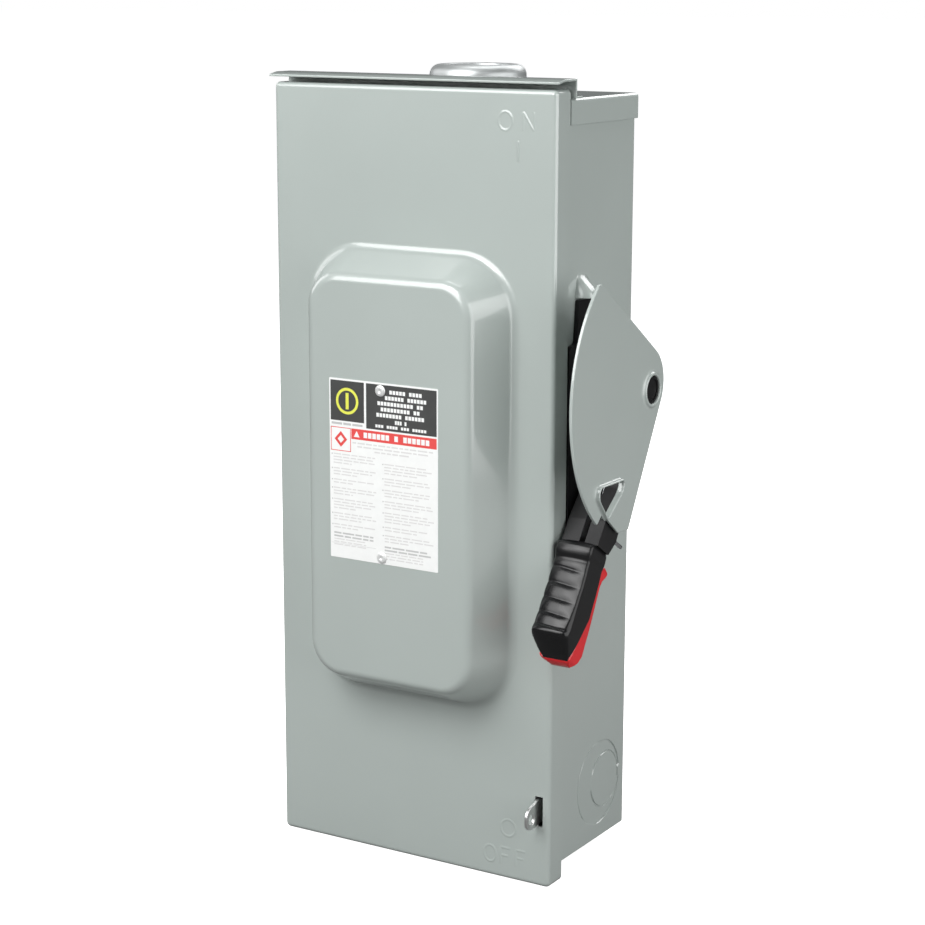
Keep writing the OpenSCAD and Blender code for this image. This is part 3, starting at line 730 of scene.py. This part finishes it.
def symbol(p):
    """Thin red frame with a plain diamond, and a triangle in the red band."""
    p.rect(0.012, 0.268, 0.2, 0.272, "red")
    p.rect(0.012, 0.396, 0.2, 0.4, "red")
    p.rect(0.012, 0.268, 0.018, 0.4, "red")
    p.rect(0.194, 0.268, 0.2, 0.4, "red")
    p.shape([(0.106, 0.29), (0.165, 0.334), (0.106, 0.378), (0.047, 0.334)], "red")
    p.shape([(0.106, 0.312), (0.136, 0.334), (0.106, 0.356), (0.076, 0.334)], "white", TOP_LIFT)
    p.shape([(0.255, 0.279), (0.282, 0.313), (0.228, 0.313)], "white", TOP_LIFT)


def bold_lines(p):
    """Rows of white blocks: start, end, height down the label, count and gaps."""
    rows = [(0.56, 0.86, 0.036, 10, (5,)), (0.52, 0.90, 0.069, 13, (6,)), (0.45, 0.87, 0.101, 14, (11,)),
            (0.48, 0.84, 0.133, 12, (9,)), (0.44, 0.88, 0.165, 15, (8,)), (0.61, 0.72, 0.198, 5, (3,))]
    for u0, u1, v, count, spaces in rows:
        p.blocks(u0, u1, v, 0.021, "white", count, spaces)
    p.blocks(0.43, 0.90, 0.229, 0.016, "white", 18, (3, 8, 12))
    p.blocks(0.32, 0.93, 0.282, 0.03, "white", 15, (6, 8))


def small_lines(p):
    """Two columns of thin dashes in groups, each group with a bullet."""
    rng = random.Random(7)
    p.line(rng, 0.02, 0.31, 0.242, 0.012, "grey", (0.05, 0.2))
    for v, u0, u1 in ((0.342, 0.215, 0.97), (0.361, 0.26, 0.93), (0.38, 0.42, 0.75)):
        p.line(rng, u0, u1, v, 0.008, "pale")
    for u0, u1, start, groups in ((0.035, 0.435, 0.415, (4, 3, 2, 3, 4, 3, 2)),
                                  (0.51, 0.965, 0.44, (4, 3, 3, 3, 4, 2, 3))):
        v = start
        for rows in groups:
            p.rect(u0 - 0.018, v + 0.001, u0 - 0.008, v + 0.008, "grey")
            for row in range(rows):
                end = u1 - (rng.uniform(0.08, 0.25) if row == rows - 1 else rng.uniform(0, 0.05))
                p.line(rng, u0, end, v, 0.0065, "pale")
                v += 0.0165
            v += 0.0135
        for _ in range(2):
            p.line(rng, u0, u1 - 0.03, v, 0.009, "grey", (0.05, 0.12))
            v += 0.018
        for _ in range(3):
            p.line(rng, u0, u1 - 0.1, v, 0.006, "pale")
            v += 0.0155
    p.rect(0.012, 0.918, 0.43, 0.9195, "grey")


def rivets():
    """Domed rivet heads with a small dimple, through the label."""
    low, high = box_mm("label_rivets")
    tall = LABEL_LO.y - low.y
    radius = (high.x - low.x - abs(RIVETS[0][0] - RIVETS[1][0])) / 2
    dome = [(0.02, 0.62), (0.16, 0.66), (0.27, 0.82), (0.36, 0.97), (0.46, 1.0), (0.62, 0.94),
            (0.78, 0.8), (0.9, 0.58), (0.97, 0.33), (1.0, 0.1), (0.98, 0.0)]
    shank = [(2.3, 0), (2.3, -0.28)]
    bm = bmesh.new()
    for x, z in RIVETS:
        cap(bm, lathe(bm, [(radius * r, tall * h) for r, h in dome] + shank,
                      lambda u, v, w: on_y(x + u, z + v, LABEL_LO.y - w), 40))
    obj = mesh_object("rivet_heads", bm, 60)
    add_piece(obj, "door", "zinc_plate", ["label_rivets"], [MATERIALS["bright_zinc"]])


def diagram():
    """Wiring sheet inside the door, drawn with plain lines and boxes."""
    low, high = box_mm("diagram_sheet")
    face = high.y - INK_ROOM
    p = Print(low, high, face, 1)
    plate(p.bm, [sheet_outline(low, high, 0.5)], low.y, face, 0.06, on_y, 2)
    rng = random.Random(11)
    for u in (0.1, 0.19, 0.28):
        p.rect(u, 0.12, u + 0.006, 0.34, "black")
        p.rect(u - 0.02, 0.34, u + 0.026, 0.42, "black")
        p.rect(u, 0.42, u + 0.006, 0.6, "black")
        p.rect(u - 0.025, 0.6, u + 0.031, 0.8, "grey")
        p.rect(u, 0.8, u + 0.006, 0.92, "black")
    for v in (0.1, 0.25, 0.4, 0.55, 0.7, 0.85):
        p.rect(0.42, v, 0.95, v + 0.008, "grey")
        p.line(rng, 0.42, 0.9, v + 0.03, 0.022, "grey", (0.02, 0.08))
        p.line(rng, 0.42, 0.8, v + 0.075, 0.022, "pale", (0.02, 0.08))
    p.rect(0.4, 0.1, 0.406, 0.92, "black")
    add_piece(mesh_object("diagram", p.bm, 40, 1e-7), "door", "label_film", ["diagram_sheet"], INK_MATERIALS)


# ---- box body: one bent sheet with pressed pads and knockouts ----
BODY_BEND = 3.0
# depth into the box, height and radius
KNOCKOUT = (-41.5, -214.0, 29.5)
KNOCKOUT_DISC = (-32.7, -214.0, 19.4)
WALL_HOLES = next(m for m in frame["record"]["mounts"] if m["name"] == "wall_holes")["dims"]
PADS = [(sx * WALL_HOLES["spacing_x_mm"] / 2, sz * WALL_HOLES["spacing_y_mm"] / 2)
        for sx in (-1, 1) for sz in (-1, 1)]
PAD_H = 3.0
PAD_PROFILE = [(16, 0), (15.2, 0.12), (14.2, 0.6), (13.1, 1.5), (12.2, 2.4), (11.4, 2.88),
               (10.6, PAD_H), (3.9, PAD_H), (3.6, PAD_H - 0.1)]
BACK_Y = BODY_HI.y - PAD_H
GROOVE = 0.7
GROOVE_DEPTH = 1.0
GROOVE_FLOOR = 0.2
TIED = True


def rectangle(u0, v0, u1, v1):
    return [Vector(p) for p in ((u0, v0), (u1, v0), (u1, v1), (u0, v1))]


def flat(bm, loops, place):
    fill(bm, [add_ring(bm, [place(p.x, p.y) for p in loop]) for loop in loops])


def press(bm, centre, profile, place, ties=(), steps=64):
    """Rings about a centre from (radius, depth) rows; a row that ends in TIED rises at each tie."""
    rings = []
    for radius, depth, *tied in profile:
        ring = []
        for a in turns(steps):
            hold = max([0] + [math.cos(a - t) ** 24 for t in ties if tied and math.cos(a - t) > 0])
            ring.append(place(centre[0] + radius * math.cos(a), centre[1] + radius * math.sin(a),
                              depth * (1 - hold)))
        rings.append(ring)
    surface(bm, rings)


def ring_at(disc, grow):
    return circle(*disc[:2], disc[2] + grow, 64)


def knockout(bm, disc, around, within, place, ties):
    """Groove round a knockout, sheared through but for its ties, from one level to another."""
    radius = disc[2]
    rows = [(radius + GROOVE, around), (radius + GROOVE_FLOOR, GROOVE_DEPTH, TIED),
            (radius - GROOVE_FLOOR, GROOVE_DEPTH, TIED), (radius - GROOVE, within)]
    press(bm, disc, rows, place, [math.radians(tie) for tie in ties])


def side_wall(bm, side):
    """Side wall with an eccentric knockout, and the handle's opening on the right."""
    x = side * BODY_HI.x
    outline = rectangle(BODY_LO.y, BODY_LO.z, BACK_Y - BODY_BEND, BODY_HI.z)
    loops = [outline, ring_at(KNOCKOUT, GROOVE)]
    if side > 0:
        front, rear = PIVOT.y - 47, PIVOT.y + 21
        foot, top = PIVOT.z - 84, PIVOT.z + 21
        loops.append(rounded([(front, foot, 2), (rear, foot, 2), (rear, top, 2), (front, top, 2)], 4))
    flat(bm, loops, lambda u, v: on_x(u, v, x))

    def inward(u, v, depth):
        return on_x(u, v, x - side * depth)

    ring_sunk, disc_sunk = 0.35, 0.1
    knockout(bm, KNOCKOUT, 0, ring_sunk, inward, (80, 250))
    between = [ring_at(KNOCKOUT, -GROOVE), ring_at(KNOCKOUT_DISC, GROOVE)]
    flat(bm, between, lambda u, v: inward(u, v, ring_sunk))
    knockout(bm, KNOCKOUT_DISC, ring_sunk, disc_sunk, inward, (170, 330))
    flat(bm, [ring_at(KNOCKOUT_DISC, -GROOVE)], lambda u, v: inward(u, v, disc_sunk))


def back_wall(bm):
    """Back wall with a pressed pad round each wall hole."""
    x = BODY_HI.x - BODY_BEND
    rings = [circle(u, v, PAD_PROFILE[0][0], 64) for u, v in PADS]
    flat(bm, [rectangle(-x, BODY_LO.z, x, BODY_HI.z)] + rings, lambda u, v: on_y(u, v, BACK_Y))
    for pad in PADS:
        press(bm, pad, PAD_PROFILE, lambda u, v, w: on_y(u, v, BACK_Y + w))


def back_bend(bm, side):
    """Bend between the back and a side."""
    rows = [[on_y(side * (BODY_HI.x - inset), z, BACK_Y - drop) for z in (BODY_LO.z, BODY_HI.z)]
            for inset, drop in bend_steps(BODY_BEND, 8)]
    surface(bm, rows, closed=False)


def body_shell():
    bm = bmesh.new()
    back_wall(bm)
    for side in (-1, 1):
        side_wall(bm, side)
        back_bend(bm, side)
    obj = mesh_object("box_body", bm)
    outward(obj)
    thicken(obj)
    add_piece(obj, "enclosure", "grey_paint", ["enclosure_body"])


# ---- top fittings ----
def endcap():
    """Cap folded down over the box's sides and back, with a tongue forward under the rain hood."""
    low, high = box_mm("top_endcap")
    front = DOOR_HI.y + 2.3
    behind = 8
    bend, corner = 2.4, 2.8
    mid = (0, (front - behind + high.y) / 2)
    half_x, half_y = high.x, (high.y - front + behind) / 2
    shapes = [(0, low.z)] + [(inset, high.z - drop) for inset, drop in bend_steps(bend, 6)]
    bm = bmesh.new()
    rings = []
    for inset, z in shapes:
        ring = ring_rect(half_x - inset, half_y - inset, corner - inset, 6, 8, mid)
        rings.append([on_z(p.x, p.y, z) for p in ring])
    made = surface(bm, rings)
    hole = circle((HUB_LO.x + HUB_HI.x) / 2, (HUB_LO.y + HUB_HI.y) / 2, 30, 72)
    fill(bm, [made[-1], add_ring(bm, [on_z(p.x, p.y, high.z) for p in hole])])
    whole = list(bm.verts) + list(bm.edges) + list(bm.faces)
    bmesh.ops.bisect_plane(bm, geom=whole, plane_co=Vector((0, front, 0)) * MM, plane_no=(0, -1, 0),
                           clear_outer=True)
    obj = mesh_object("end_cap", bm)
    outward(obj)
    thicken(obj)
    whole = endcap_tongue(low, high, front)
    whole.from_mesh(obj.data)
    bpy.data.objects.remove(obj, do_unlink=True)
    add_piece(mesh_object("end_cap", whole), "enclosure", "grey_paint", ["top_endcap"])


def endcap_tongue(low, high, front):
    """Sheet from the cap forward, bent down at its front."""
    sheet, overlap, side = 1.3, 1, high.x - 3.4
    top, drop = high.z - 0.05, low.z + 4.5
    profile = rounded([(low.y, drop, 0), (low.y, top, 2.2), (front + overlap, top, 0),
                       (front + overlap, top - sheet, 0), (low.y + 1.5, top - sheet, 0.9),
                       (low.y + 1.5, drop, 0)], 5)
    bm = bmesh.new()
    plate(bm, [profile], -side, side, 0.1, on_x, 2)
    return bm


def hub():
    """Cast closing plate: a square flange, a round dome with a ridged top, and four screw holes."""
    bm = bmesh.new()
    cx = (HUB_LO.x + HUB_HI.x) / 2
    cy = (HUB_LO.y + HUB_HI.y) / 2
    radius, top, flange, bend = 32.3, HUB_HI.z, 2.6, 7
    reach = 30.5
    screws = [circle(cx + u * reach, cy + v * reach, 2.6, 24) for u in (-1, 1) for v in (-1, 1)]
    opening = circle(cx, cy, radius - 4, 72)
    outline = ring_rect(HUB_HI.x - cx, HUB_HI.y - cy, 12, 2, 10, (cx, cy))
    foot = HUB_LO.z + flange
    plate(bm, [outline, opening] + screws, HUB_LO.z, foot, 0.5, on_z)
    start = (radius - 3.5, HUB_LO.z + 0.4)
    profile = [start, (radius + 1.6, foot - 0.3), (radius + 1.4, foot + 0.15), (radius + 0.5, foot + 0.5),
               (radius, foot + 1.4)]
    profile += [(radius - inset, top - drop) for inset, drop in bend_steps(bend, 10)]
    profile += [(radius - 9.4, top - 0.05), (radius - 10.3, top - 0.5), (radius - 10.8, top - 1.5),
                (radius - 11.6, top - 1.9), (radius - 20, top - 1.9), (radius - 20.6, top - 1.6),
                (radius - 21.4, top - 1.5), (3, top - 1.5), (2.4, top - 1.9), (0.6, top - 2.1)]
    under = [(0.6, top - 4.6), (radius - 8, top - 4.6), (radius - 4, top - 8), start]
    lathe(bm, profile + under, lambda u, v, w: on_z(cx + u, cy + v, w))
    add_piece(mesh_object("hub_cover", bm, 32), "enclosure", "cast_zinc", ["hub_plate"])


# ---- guard ----
EYE_LIP = 2.7
GUARD_OUT = GUARD_HI.x - EYE_LIP
GUARD_IN = GUARD_OUT - 2.0
CAP_R = (box_mm("pivot_cap")[1].z - box_mm("pivot_cap")[0].z) / 2


def eye_outline(grow):
    """Padlock hole in the guard, grown outwards."""
    y, z = PIVOT.y, PIVOT.z
    return rounded([(y - 73.4 - grow, z - 52.4 + grow * 0.8, 3.5 + grow),
                    (y - 40.8 + grow * 1.5, z - 53.1 + grow, 1.5 + grow),
                    (y - 44.2 + grow, z - 60.5, 8), (y - 62.6, z - 73.6 - grow * 1.5, 1.2 + grow),
                    (y - 74.3 - grow, z - 59.4, 6)], 10)


def guard_outline():
    """Front edge on an arc, notched lower edge, straight top and rear edges, round about the shaft."""
    y, z = PIVOT.y, PIVOT.z
    centre = (FACE_Y + 67, z + 0.8)
    radius = 102.2
    tip = (-115, z + 78.3)
    foot = z - 76
    start = math.acos((tip[0] - centre[0] - 0.6) / radius)
    stop = math.pi + math.asin((centre[1] - foot) / radius)
    steps = 60
    front = []
    for k in range(steps + 1):
        a = start + (stop - start) * k / steps
        front.append((centre[0] + radius * math.cos(a), centre[1] + radius * math.sin(a), 0))
    corners = [(y - 72.6, foot, 1.2), (y - 67.6, z - 71.6, 0.8), (y - 58.5, z - 76.2, 4),
               (y - 44, z - 87.6, 1.5), (y - 30, z - 88.2, 1.5), (y + 25.9, z + 11.9, 26),
               (tip[0] + 1.2, tip[1] + 0.2, 4)]
    return rounded(front + corners, 12)


GUARD_EDGE = 0.45
# (growth of the eye's outline, height over the guard's face)
EYE_PROFILE = [(2.3, 0), (2.0, 0.2), (1.7, 0.6), (1.5, 1.1), (1.4, 1.7), (1.3, 2.2), (1.0, 2.55),
               (0.65, EYE_LIP), (0.3, 2.5), (0.05, 2.1), (0, 1.4), (0, -0.9), (0.3, -1.6), (0.9, -2.0),
               (1.4, -1.9), (1.4, -0.4)]
# (distance from the pivot cap, height over the guard's face)
COLLAR_PROFILE = [(4.6, 0), (3.6, 0.15), (2.8, 0.5), (2.4, 1.0), (2.15, 1.5), (1.6, 1.8), (0.9, 1.75),
                  (0.4, 1.4), (0.12, 0.8), (0.12, -1.9), (0.5, -1.95), (0.5, -0.4)]


def guard():
    """Guard plate with a folded lip round the padlock eye and a collar round the pivot."""
    bm = bmesh.new()
    shaft = circle(PIVOT.y, PIVOT.z, CAP_R + 0.3, 64)
    plate(bm, [guard_outline(), eye_outline(1.0), shaft], GUARD_IN, GUARD_OUT, GUARD_EDGE, on_x, 4)
    lip = [[on_x(p.x, p.y, GUARD_OUT + w) for p in eye_outline(g)] for g, w in EYE_PROFILE]
    surface(bm, lip, joined=True)
    lathe(bm, [(CAP_R + r, GUARD_OUT + w) for r, w in COLLAR_PROFILE],
          lambda u, v, w: on_x(PIVOT.y + u, PIVOT.z + v, w), 64, joined=True)
    guard_flange(bm)
    add_piece(mesh_object("guard", bm, 36), "enclosure", "grey_paint", ["handle_guard"])


def guard_flange(bm):
    """Web back to the wall along the lower edge and its foot, bent from one sheet."""
    tilt = math.radians(61.3)

    def place(u, v, w):
        y = u * math.cos(tilt) - v * math.sin(tilt)
        z = u * math.sin(tilt) + v * math.cos(tilt)
        return Vector((w, PIVOT.y + y, PIVOT.z + z)) * MM

    wall, outer = SHIELD_HI.x, GUARD_IN + 0.4
    path = [(-28.6, wall + 1), (-17.4, wall + 1), (-16.2, wall + 1.5), (-15.6, wall + 2.9), (-15.6, outer)]
    rows = []
    for k, (v, w) in enumerate(path):
        before = Vector(path[max(0, k - 1)])
        after = Vector(path[min(len(path) - 1, k + 1)])
        along = (after - before).normalized()
        side = Vector((along.y, -along.x))
        ends = (-58, -16) if k < 2 else (-61, -13)
        corners = [(ends[0], 1), (ends[1], 1), (ends[1], -1), (ends[0], -1)]
        rows.append([place(u, v + side.x * s, w + side.y * s) for u, s in corners])
    loft(bm, rows)


# ---- hood above the handle ----
def slot_hood():
    """Pressed louver: open below, steep at its front side, fading into the wall above and behind."""
    bm = bmesh.new()
    low, high = box_mm("slot_hood")
    wall = BODY_HI.x
    deep = high.x - wall
    columns, rows = 40, 20
    skins = []
    for inset in (0.0, 1.2):
        grid = []
        for r in range(rows + 1):
            t = r / rows
            front = low.y + 2.6 * t
            rear = high.y - 9 * t
            row = []
            for c in range(columns + 1):
                share = 0.5 - 0.5 * math.cos(math.pi * c / columns)
                steep = 1 - (1 - min(1.0, share / 0.2)) ** 2.5
                fade = 0.5 + 0.5 * math.cos(math.pi * max(0.0, (share - 0.45) / 0.55))
                rise = steep * fade * (0.5 + 0.5 * math.cos(math.pi * t)) ** 0.8
                x = wall - 0.3 + max(0.0, deep * rise - inset)
                row.append(on_x(front + (rear - front) * share, low.z + (high.z - low.z) * t, x))
            grid.append(row)
        skins.append(surface(bm, grid, closed=False))
    bridge(bm, skins[0][0], skins[1][0], closed=False)
    add_piece(mesh_object("louver", bm, 50, 1e-5), "enclosure", "grey_paint", ["slot_hood"])


# ---- handle ----
# each row is (distance down the arm, value)
GRIP_FRONT = [(113, 11.2), (114.2, 13.2), (116, 14.1), (119.6, 14.3), (122.4, 13.4), (125.2, 11.8),
              (128, 12.2), (142, 12.0), (158, 12.7), (169, 13.4), (172, 13.9), (174, 14.9), (176, 14.8),
              (178, 13.2), (181, 9.9), (184.5, 4.8), (187.4, 0.6), (188.8, -2.2)]
GRIP_REAR = [(113, -11.4), (157, -12.4), (172, -7.4), (187, -2.4), (188.8, -2.6)]
GRIP_LEFT = [(113, 111.4), (114.8, 110.2), (120, 109.9), (125, 110.4), (135, 110.1), (172, 109.9),
             (178, 110.4), (184.5, 113.0), (188.8, 116.6)]
GRIP_RIGHT = [(113, 135.6), (115, 136.6), (120, 136.8), (125, 136.0), (135, 136.4), (176, 136.4),
              (184, 135.6), (188.8, 134.2)]
GRIP_CORNER = [(113, 2.2), (150, 1.8), (162, 2.6), (175.5, 5.0), (181, 3.6), (188.8, 1.6)]
GROOVES = (132.0, 142.5, 153.0, 163.0, 172.0)
RED_REAR = [(120, -18.0), (120.9, -21.6), (122.6, -22.4), (125.2, -21.4), (129.4, -17.7), (134, -16.7),
            (141, -17.2), (161, -18.6), (172, -18.6), (180.5, -18.8), (186, -16.0), (189.8, -11.8),
            (191.2, -9.6)]
RED_FACE = [(120, -17.6), (121.4, -14.6), (124.4, -11.2), (157, -12.0), (172, -7.0), (187, -2.0),
            (189.2, -2.4), (190.4, -4.6), (191.2, -8.4)]
RED_LEFT = [(120, 114), (123, 112.4), (172, 112.1), (184, 112.1), (187.6, 112.8), (189.6, 116), (191.2, 121)]
RED_RIGHT = [(120, 133.6), (123, 135.2), (180, 135.4), (188, 135.2), (191.2, 133.6)]


def evenly(start, step, count):
    return [start + step * k for k in range(count)]


def on_line(points, value):
    """Height at value on the straight legs through the points."""
    value = max(points[0][0], min(points[-1][0], value))
    for (x0, y0), (x1, y1) in zip(points, points[1:]):
        if value <= x1:
            return y0 + (y1 - y0) * (value - x0) / (x1 - x0)
    return points[-1][1]


def eased(points, value, reach=0.9):
    """The same with the corners taken off."""
    return sum(on_line(points, value + reach * k) for k in (-1, -0.5, 0, 0.5, 1)) / 5


def grip_ring(s, columns=22):
    """Section of the grip at s down the arm: a crowned, scalloped front on a flat rear."""
    front, rear = eased(GRIP_FRONT, s), on_line(GRIP_REAR, s)
    left, right = eased(GRIP_LEFT, s), eased(GRIP_RIGHT, s)
    front = max(front, rear + 0.3)
    tall, wide = front - rear, right - left
    soft = min(eased(GRIP_CORNER, s, 3), tall * 0.42)
    round_left = min(4.0, tall * 0.42)
    small = min(1.2, tall * 0.2)

    def skin(share):
        crown = 1.7 * (1 - share / 0.4) ** 2 if share < 0.4 else 2.7 * ((share - 0.4) / 0.6) ** 2
        return front - crown * min(1, tall / 14) - scallop(s, share) * min(1, tall / 8)

    low, high = left + round_left + 0.2, right - soft - 0.2
    face = [(high + (low - high) * k / columns) for k in range(columns + 1)]
    points = [(right, rear, small), (right, skin(1), soft)] + [(x, skin((x - left) / wide), 0) for x in face]
    points += [(left, skin(0), round_left), (left, rear, small)]
    return [on_arm(p.x, s, p.y) for p in rounded(points, 7)]


def scallop(s, share):
    """Depth of the hollows between the finger scallops, dying out towards the right edge."""
    depth = 0.0
    for before, after in zip((GROOVES[0] - 10,) + GROOVES, GROOVES + (GROOVES[-1] + 6,)):
        place = s - 3.0 * (share - 0.5)
        if before <= place < after:
            t = 2 * (place - before) / (after - before) - 1
            depth = abs(t) ** 2.4
    ends = min(1.0, max(0.0, place - GROOVES[0] + 5) / 5, max(0.0, GROOVES[-1] + 1.5 - place) / 3)
    return 0.9 * depth * ends * min(1.0, share / 0.12, max(0.0, 0.97 - share) / 0.3)


def grip():
    bm = bmesh.new()
    stations = evenly(113, 0.3, 8) + evenly(115.4, 0.5, 146) + [188.2, 188.5, 188.8]
    loft(bm, [grip_ring(s) for s in stations])
    add_piece(mesh_object("grip_front", bm, 60), "handle", "black_plastic", ["grip"])


def grip_back():
    """Red rear half, with a hooked upper end and a rounded toe."""
    bm = bmesh.new()
    stations = evenly(120, 0.4, 16) + evenly(126.6, 1.3, 41) + evenly(179.6, 0.4, 30)
    rings = []
    for s in stations:
        face, rear = eased(RED_FACE, s, 0.6), eased(RED_REAR, s, 0.6)
        face = max(face, rear + 0.15)
        left, right = eased(RED_LEFT, s), eased(RED_RIGHT, s)
        half = (face - rear) / 2
        ring = ring_rect((right - left) / 2, half, min(1.7, half * 0.9), 8, 8,
                         ((left + right) / 2, (face + rear) / 2))
        rings.append([on_arm(p.x, s, p.y) for p in ring])
    loft(bm, rings)
    add_piece(mesh_object("grip_rear", bm, 50), "handle", "red_plastic", ["grip_back"])


def latch_tab():
    """Zinc tab with rounded edges and a padlock eye."""
    bm = bmesh.new()
    y, z = LATCH.y, LATCH.z
    front = FACE_Y
    outline = rounded([(y + 7, z - 7, 4), (y + 7, z + 6.5, 4), (front + 1, z + 6.5, 3),
                       (front - 6, z + 4.5, 4), (front - 16, z + 2.5, 7.5), (front - 15.5, z - 12.2, 6.5),
                       (front - 1.5, z - 12.2, 4)], 10)
    eye = circle(front - 9, DOOR_LO.z + 50, 3.6, 32)
    pin = circle(y, z, 2.05, 24)
    plate(bm, [outline, eye, pin], TAB_LO.x, TAB_HI.x, 0.55, on_x, 4)
    add_piece(mesh_object("latch", bm, 40), "latch", "zinc_plate", ["latch_tab"])


def coil(name, node, wire, mean, turns):
    """Wound spring along X in its node's place."""
    bm = bmesh.new()
    low, high = box_mm(node)
    cy, cz = (low.y + high.y) / 2, (low.z + high.z) / 2
    steps = 28
    path = []
    for k in range(int(turns * steps) + 1):
        a = 2 * math.pi * k / steps
        x = low.x + wire + (high.x - low.x - 2 * wire) * k / (turns * steps)
        path.append(Vector((x, cy + mean * math.cos(a), cz + mean * math.sin(a))) * MM)
    tube(bm, path, wire * MM)
    add_piece(mesh_object(name, bm, 60, 1e-7), BODY_OF[node], "bare_steel", [node])


# ---- stage, lights and camera ----
def floor():
    """Plain pale floor, bright to the camera and dull grey to the rest, so it throws little light back."""
    bm = bmesh.new()
    bmesh.ops.create_grid(bm, x_segments=2, y_segments=2, size=30)
    bmesh.ops.translate(bm, verts=bm.verts, vec=(0, 0, (DOOR_LO.z - 0.5) * MM))
    obj = mesh_object("floor", bm)
    n = Nodes("floor")
    n.set(Base_Color=n.mix(n.noise(1.5, 2), (0.88, 0.88, 0.88), (0.90, 0.90, 0.90)), Roughness=0.9,
          Specular_IOR_Level=0.0, Emission_Color=(1, 1, 1), Emission_Strength=0.93)
    dull = n.add("BsdfDiffuse", Color=(0.16, 0.16, 0.16))
    seen_or_not(n.tree, dull.outputs["BSDF"], n.bsdf.outputs["BSDF"], n.tree.nodes["Material Output"])
    obj.data.materials.append(MATERIALS["floor"])


def seen_or_not(tree, hidden, seen, output):
    """Shows one shader to the camera and another to every other ray."""
    path = tree.nodes.new("ShaderNodeLightPath")
    mix = tree.nodes.new("ShaderNodeMixShader")
    tree.links.new(path.outputs["Is Camera Ray"], mix.inputs["Fac"])
    tree.links.new(hidden, mix.inputs[1])
    tree.links.new(seen, mix.inputs[2])
    tree.links.new(mix.outputs["Shader"], output.inputs["Surface"])


def lamp(name, place, target, width, height, power):
    data = bpy.data.lights.new(name, "AREA")
    data.shape = "RECTANGLE"
    data.size = width
    data.size_y = height
    data.energy = power
    obj = in_scene(name, data)
    obj.location = place
    obj.rotation_euler = (Vector(target) - Vector(place)).to_track_quat("-Z", "Y").to_euler()


def lights():
    world = bpy.data.worlds.new("studio")
    bpy.context.scene.world = world
    world.use_nodes = True
    tree = world.node_tree
    shown = tree.nodes["Background"]
    glow = tree.nodes.new("ShaderNodeBackground")
    for node, colour, strength in ((shown, (1, 1, 1, 1), 1.0), (glow, (0.95, 0.98, 1, 1), 0.09)):
        node.inputs["Color"].default_value = colour
        node.inputs["Strength"].default_value = strength
    seen_or_not(tree, glow.outputs["Background"], shown.outputs["Background"], tree.nodes["World Output"])
    middle = (0, -0.06, 0.05)
    lamp("key", (-0.5, -1.75, 1.25), middle, 1.8, 1.8, 53)
    lamp("crown", (0.05, -1.0, 0.95), (0.05, -0.1, 0.2), 0.6, 0.6, 4.4)
    lamp("side", (1.15, -0.1, 0.28), (0, -0.1, 0.1), 1.7, 1.05, 14)
    lamp("back", (0.1, 1.7, 1.5), middle, 1.4, 1.2, 18)
    lamp("top", (-0.1, 0.35, 1.7), middle, 0.9, 0.9, 9)
    lamp("left", (-1.9, -0.2, 0.8), middle, 1.0, 1.2, 8)


CAMERA_TARGET = Vector((40, FACE_Y, 17))
CAMERA_DISTANCE = 1481.88
CAMERA_AZIMUTH = 31.546
CAMERA_ELEVATION = 12.135
CAMERA_ROLL = 0.125
CAMERA_LENS = 87.94


def camera():
    data = bpy.data.cameras.new("camera")
    data.lens = CAMERA_LENS
    data.sensor_width = 36
    data.clip_start = 0.05
    data.clip_end = 100
    obj = in_scene("camera", data)
    az, el = math.radians(CAMERA_AZIMUTH), math.radians(CAMERA_ELEVATION)
    away = Vector((math.sin(az) * math.cos(el), -math.cos(az) * math.cos(el), math.sin(el)))
    obj.location = (CAMERA_TARGET + away * CAMERA_DISTANCE) * MM
    turn = (-away).to_track_quat("-Z", "Y").to_matrix()
    obj.rotation_euler = (turn @ Matrix.Rotation(math.radians(CAMERA_ROLL), 3, "Z")).to_euler()
    bpy.context.scene.camera = obj
    bpy.context.scene.view_settings.view_transform = "Standard"


camera()
lights()
floor()
dress_cad_nodes()
door_skin()
door_marks()
label()
rivets()
diagram()
body_shell()
endcap()
hub()
guard()
slot_hood()
grip()
grip_back()
latch_tab()
coil("main_coil", "main_spring", 1.25, 9.2, 4.5)
coil("latch_coil", "latch_spring", 0.42, 3.5, 3.0)
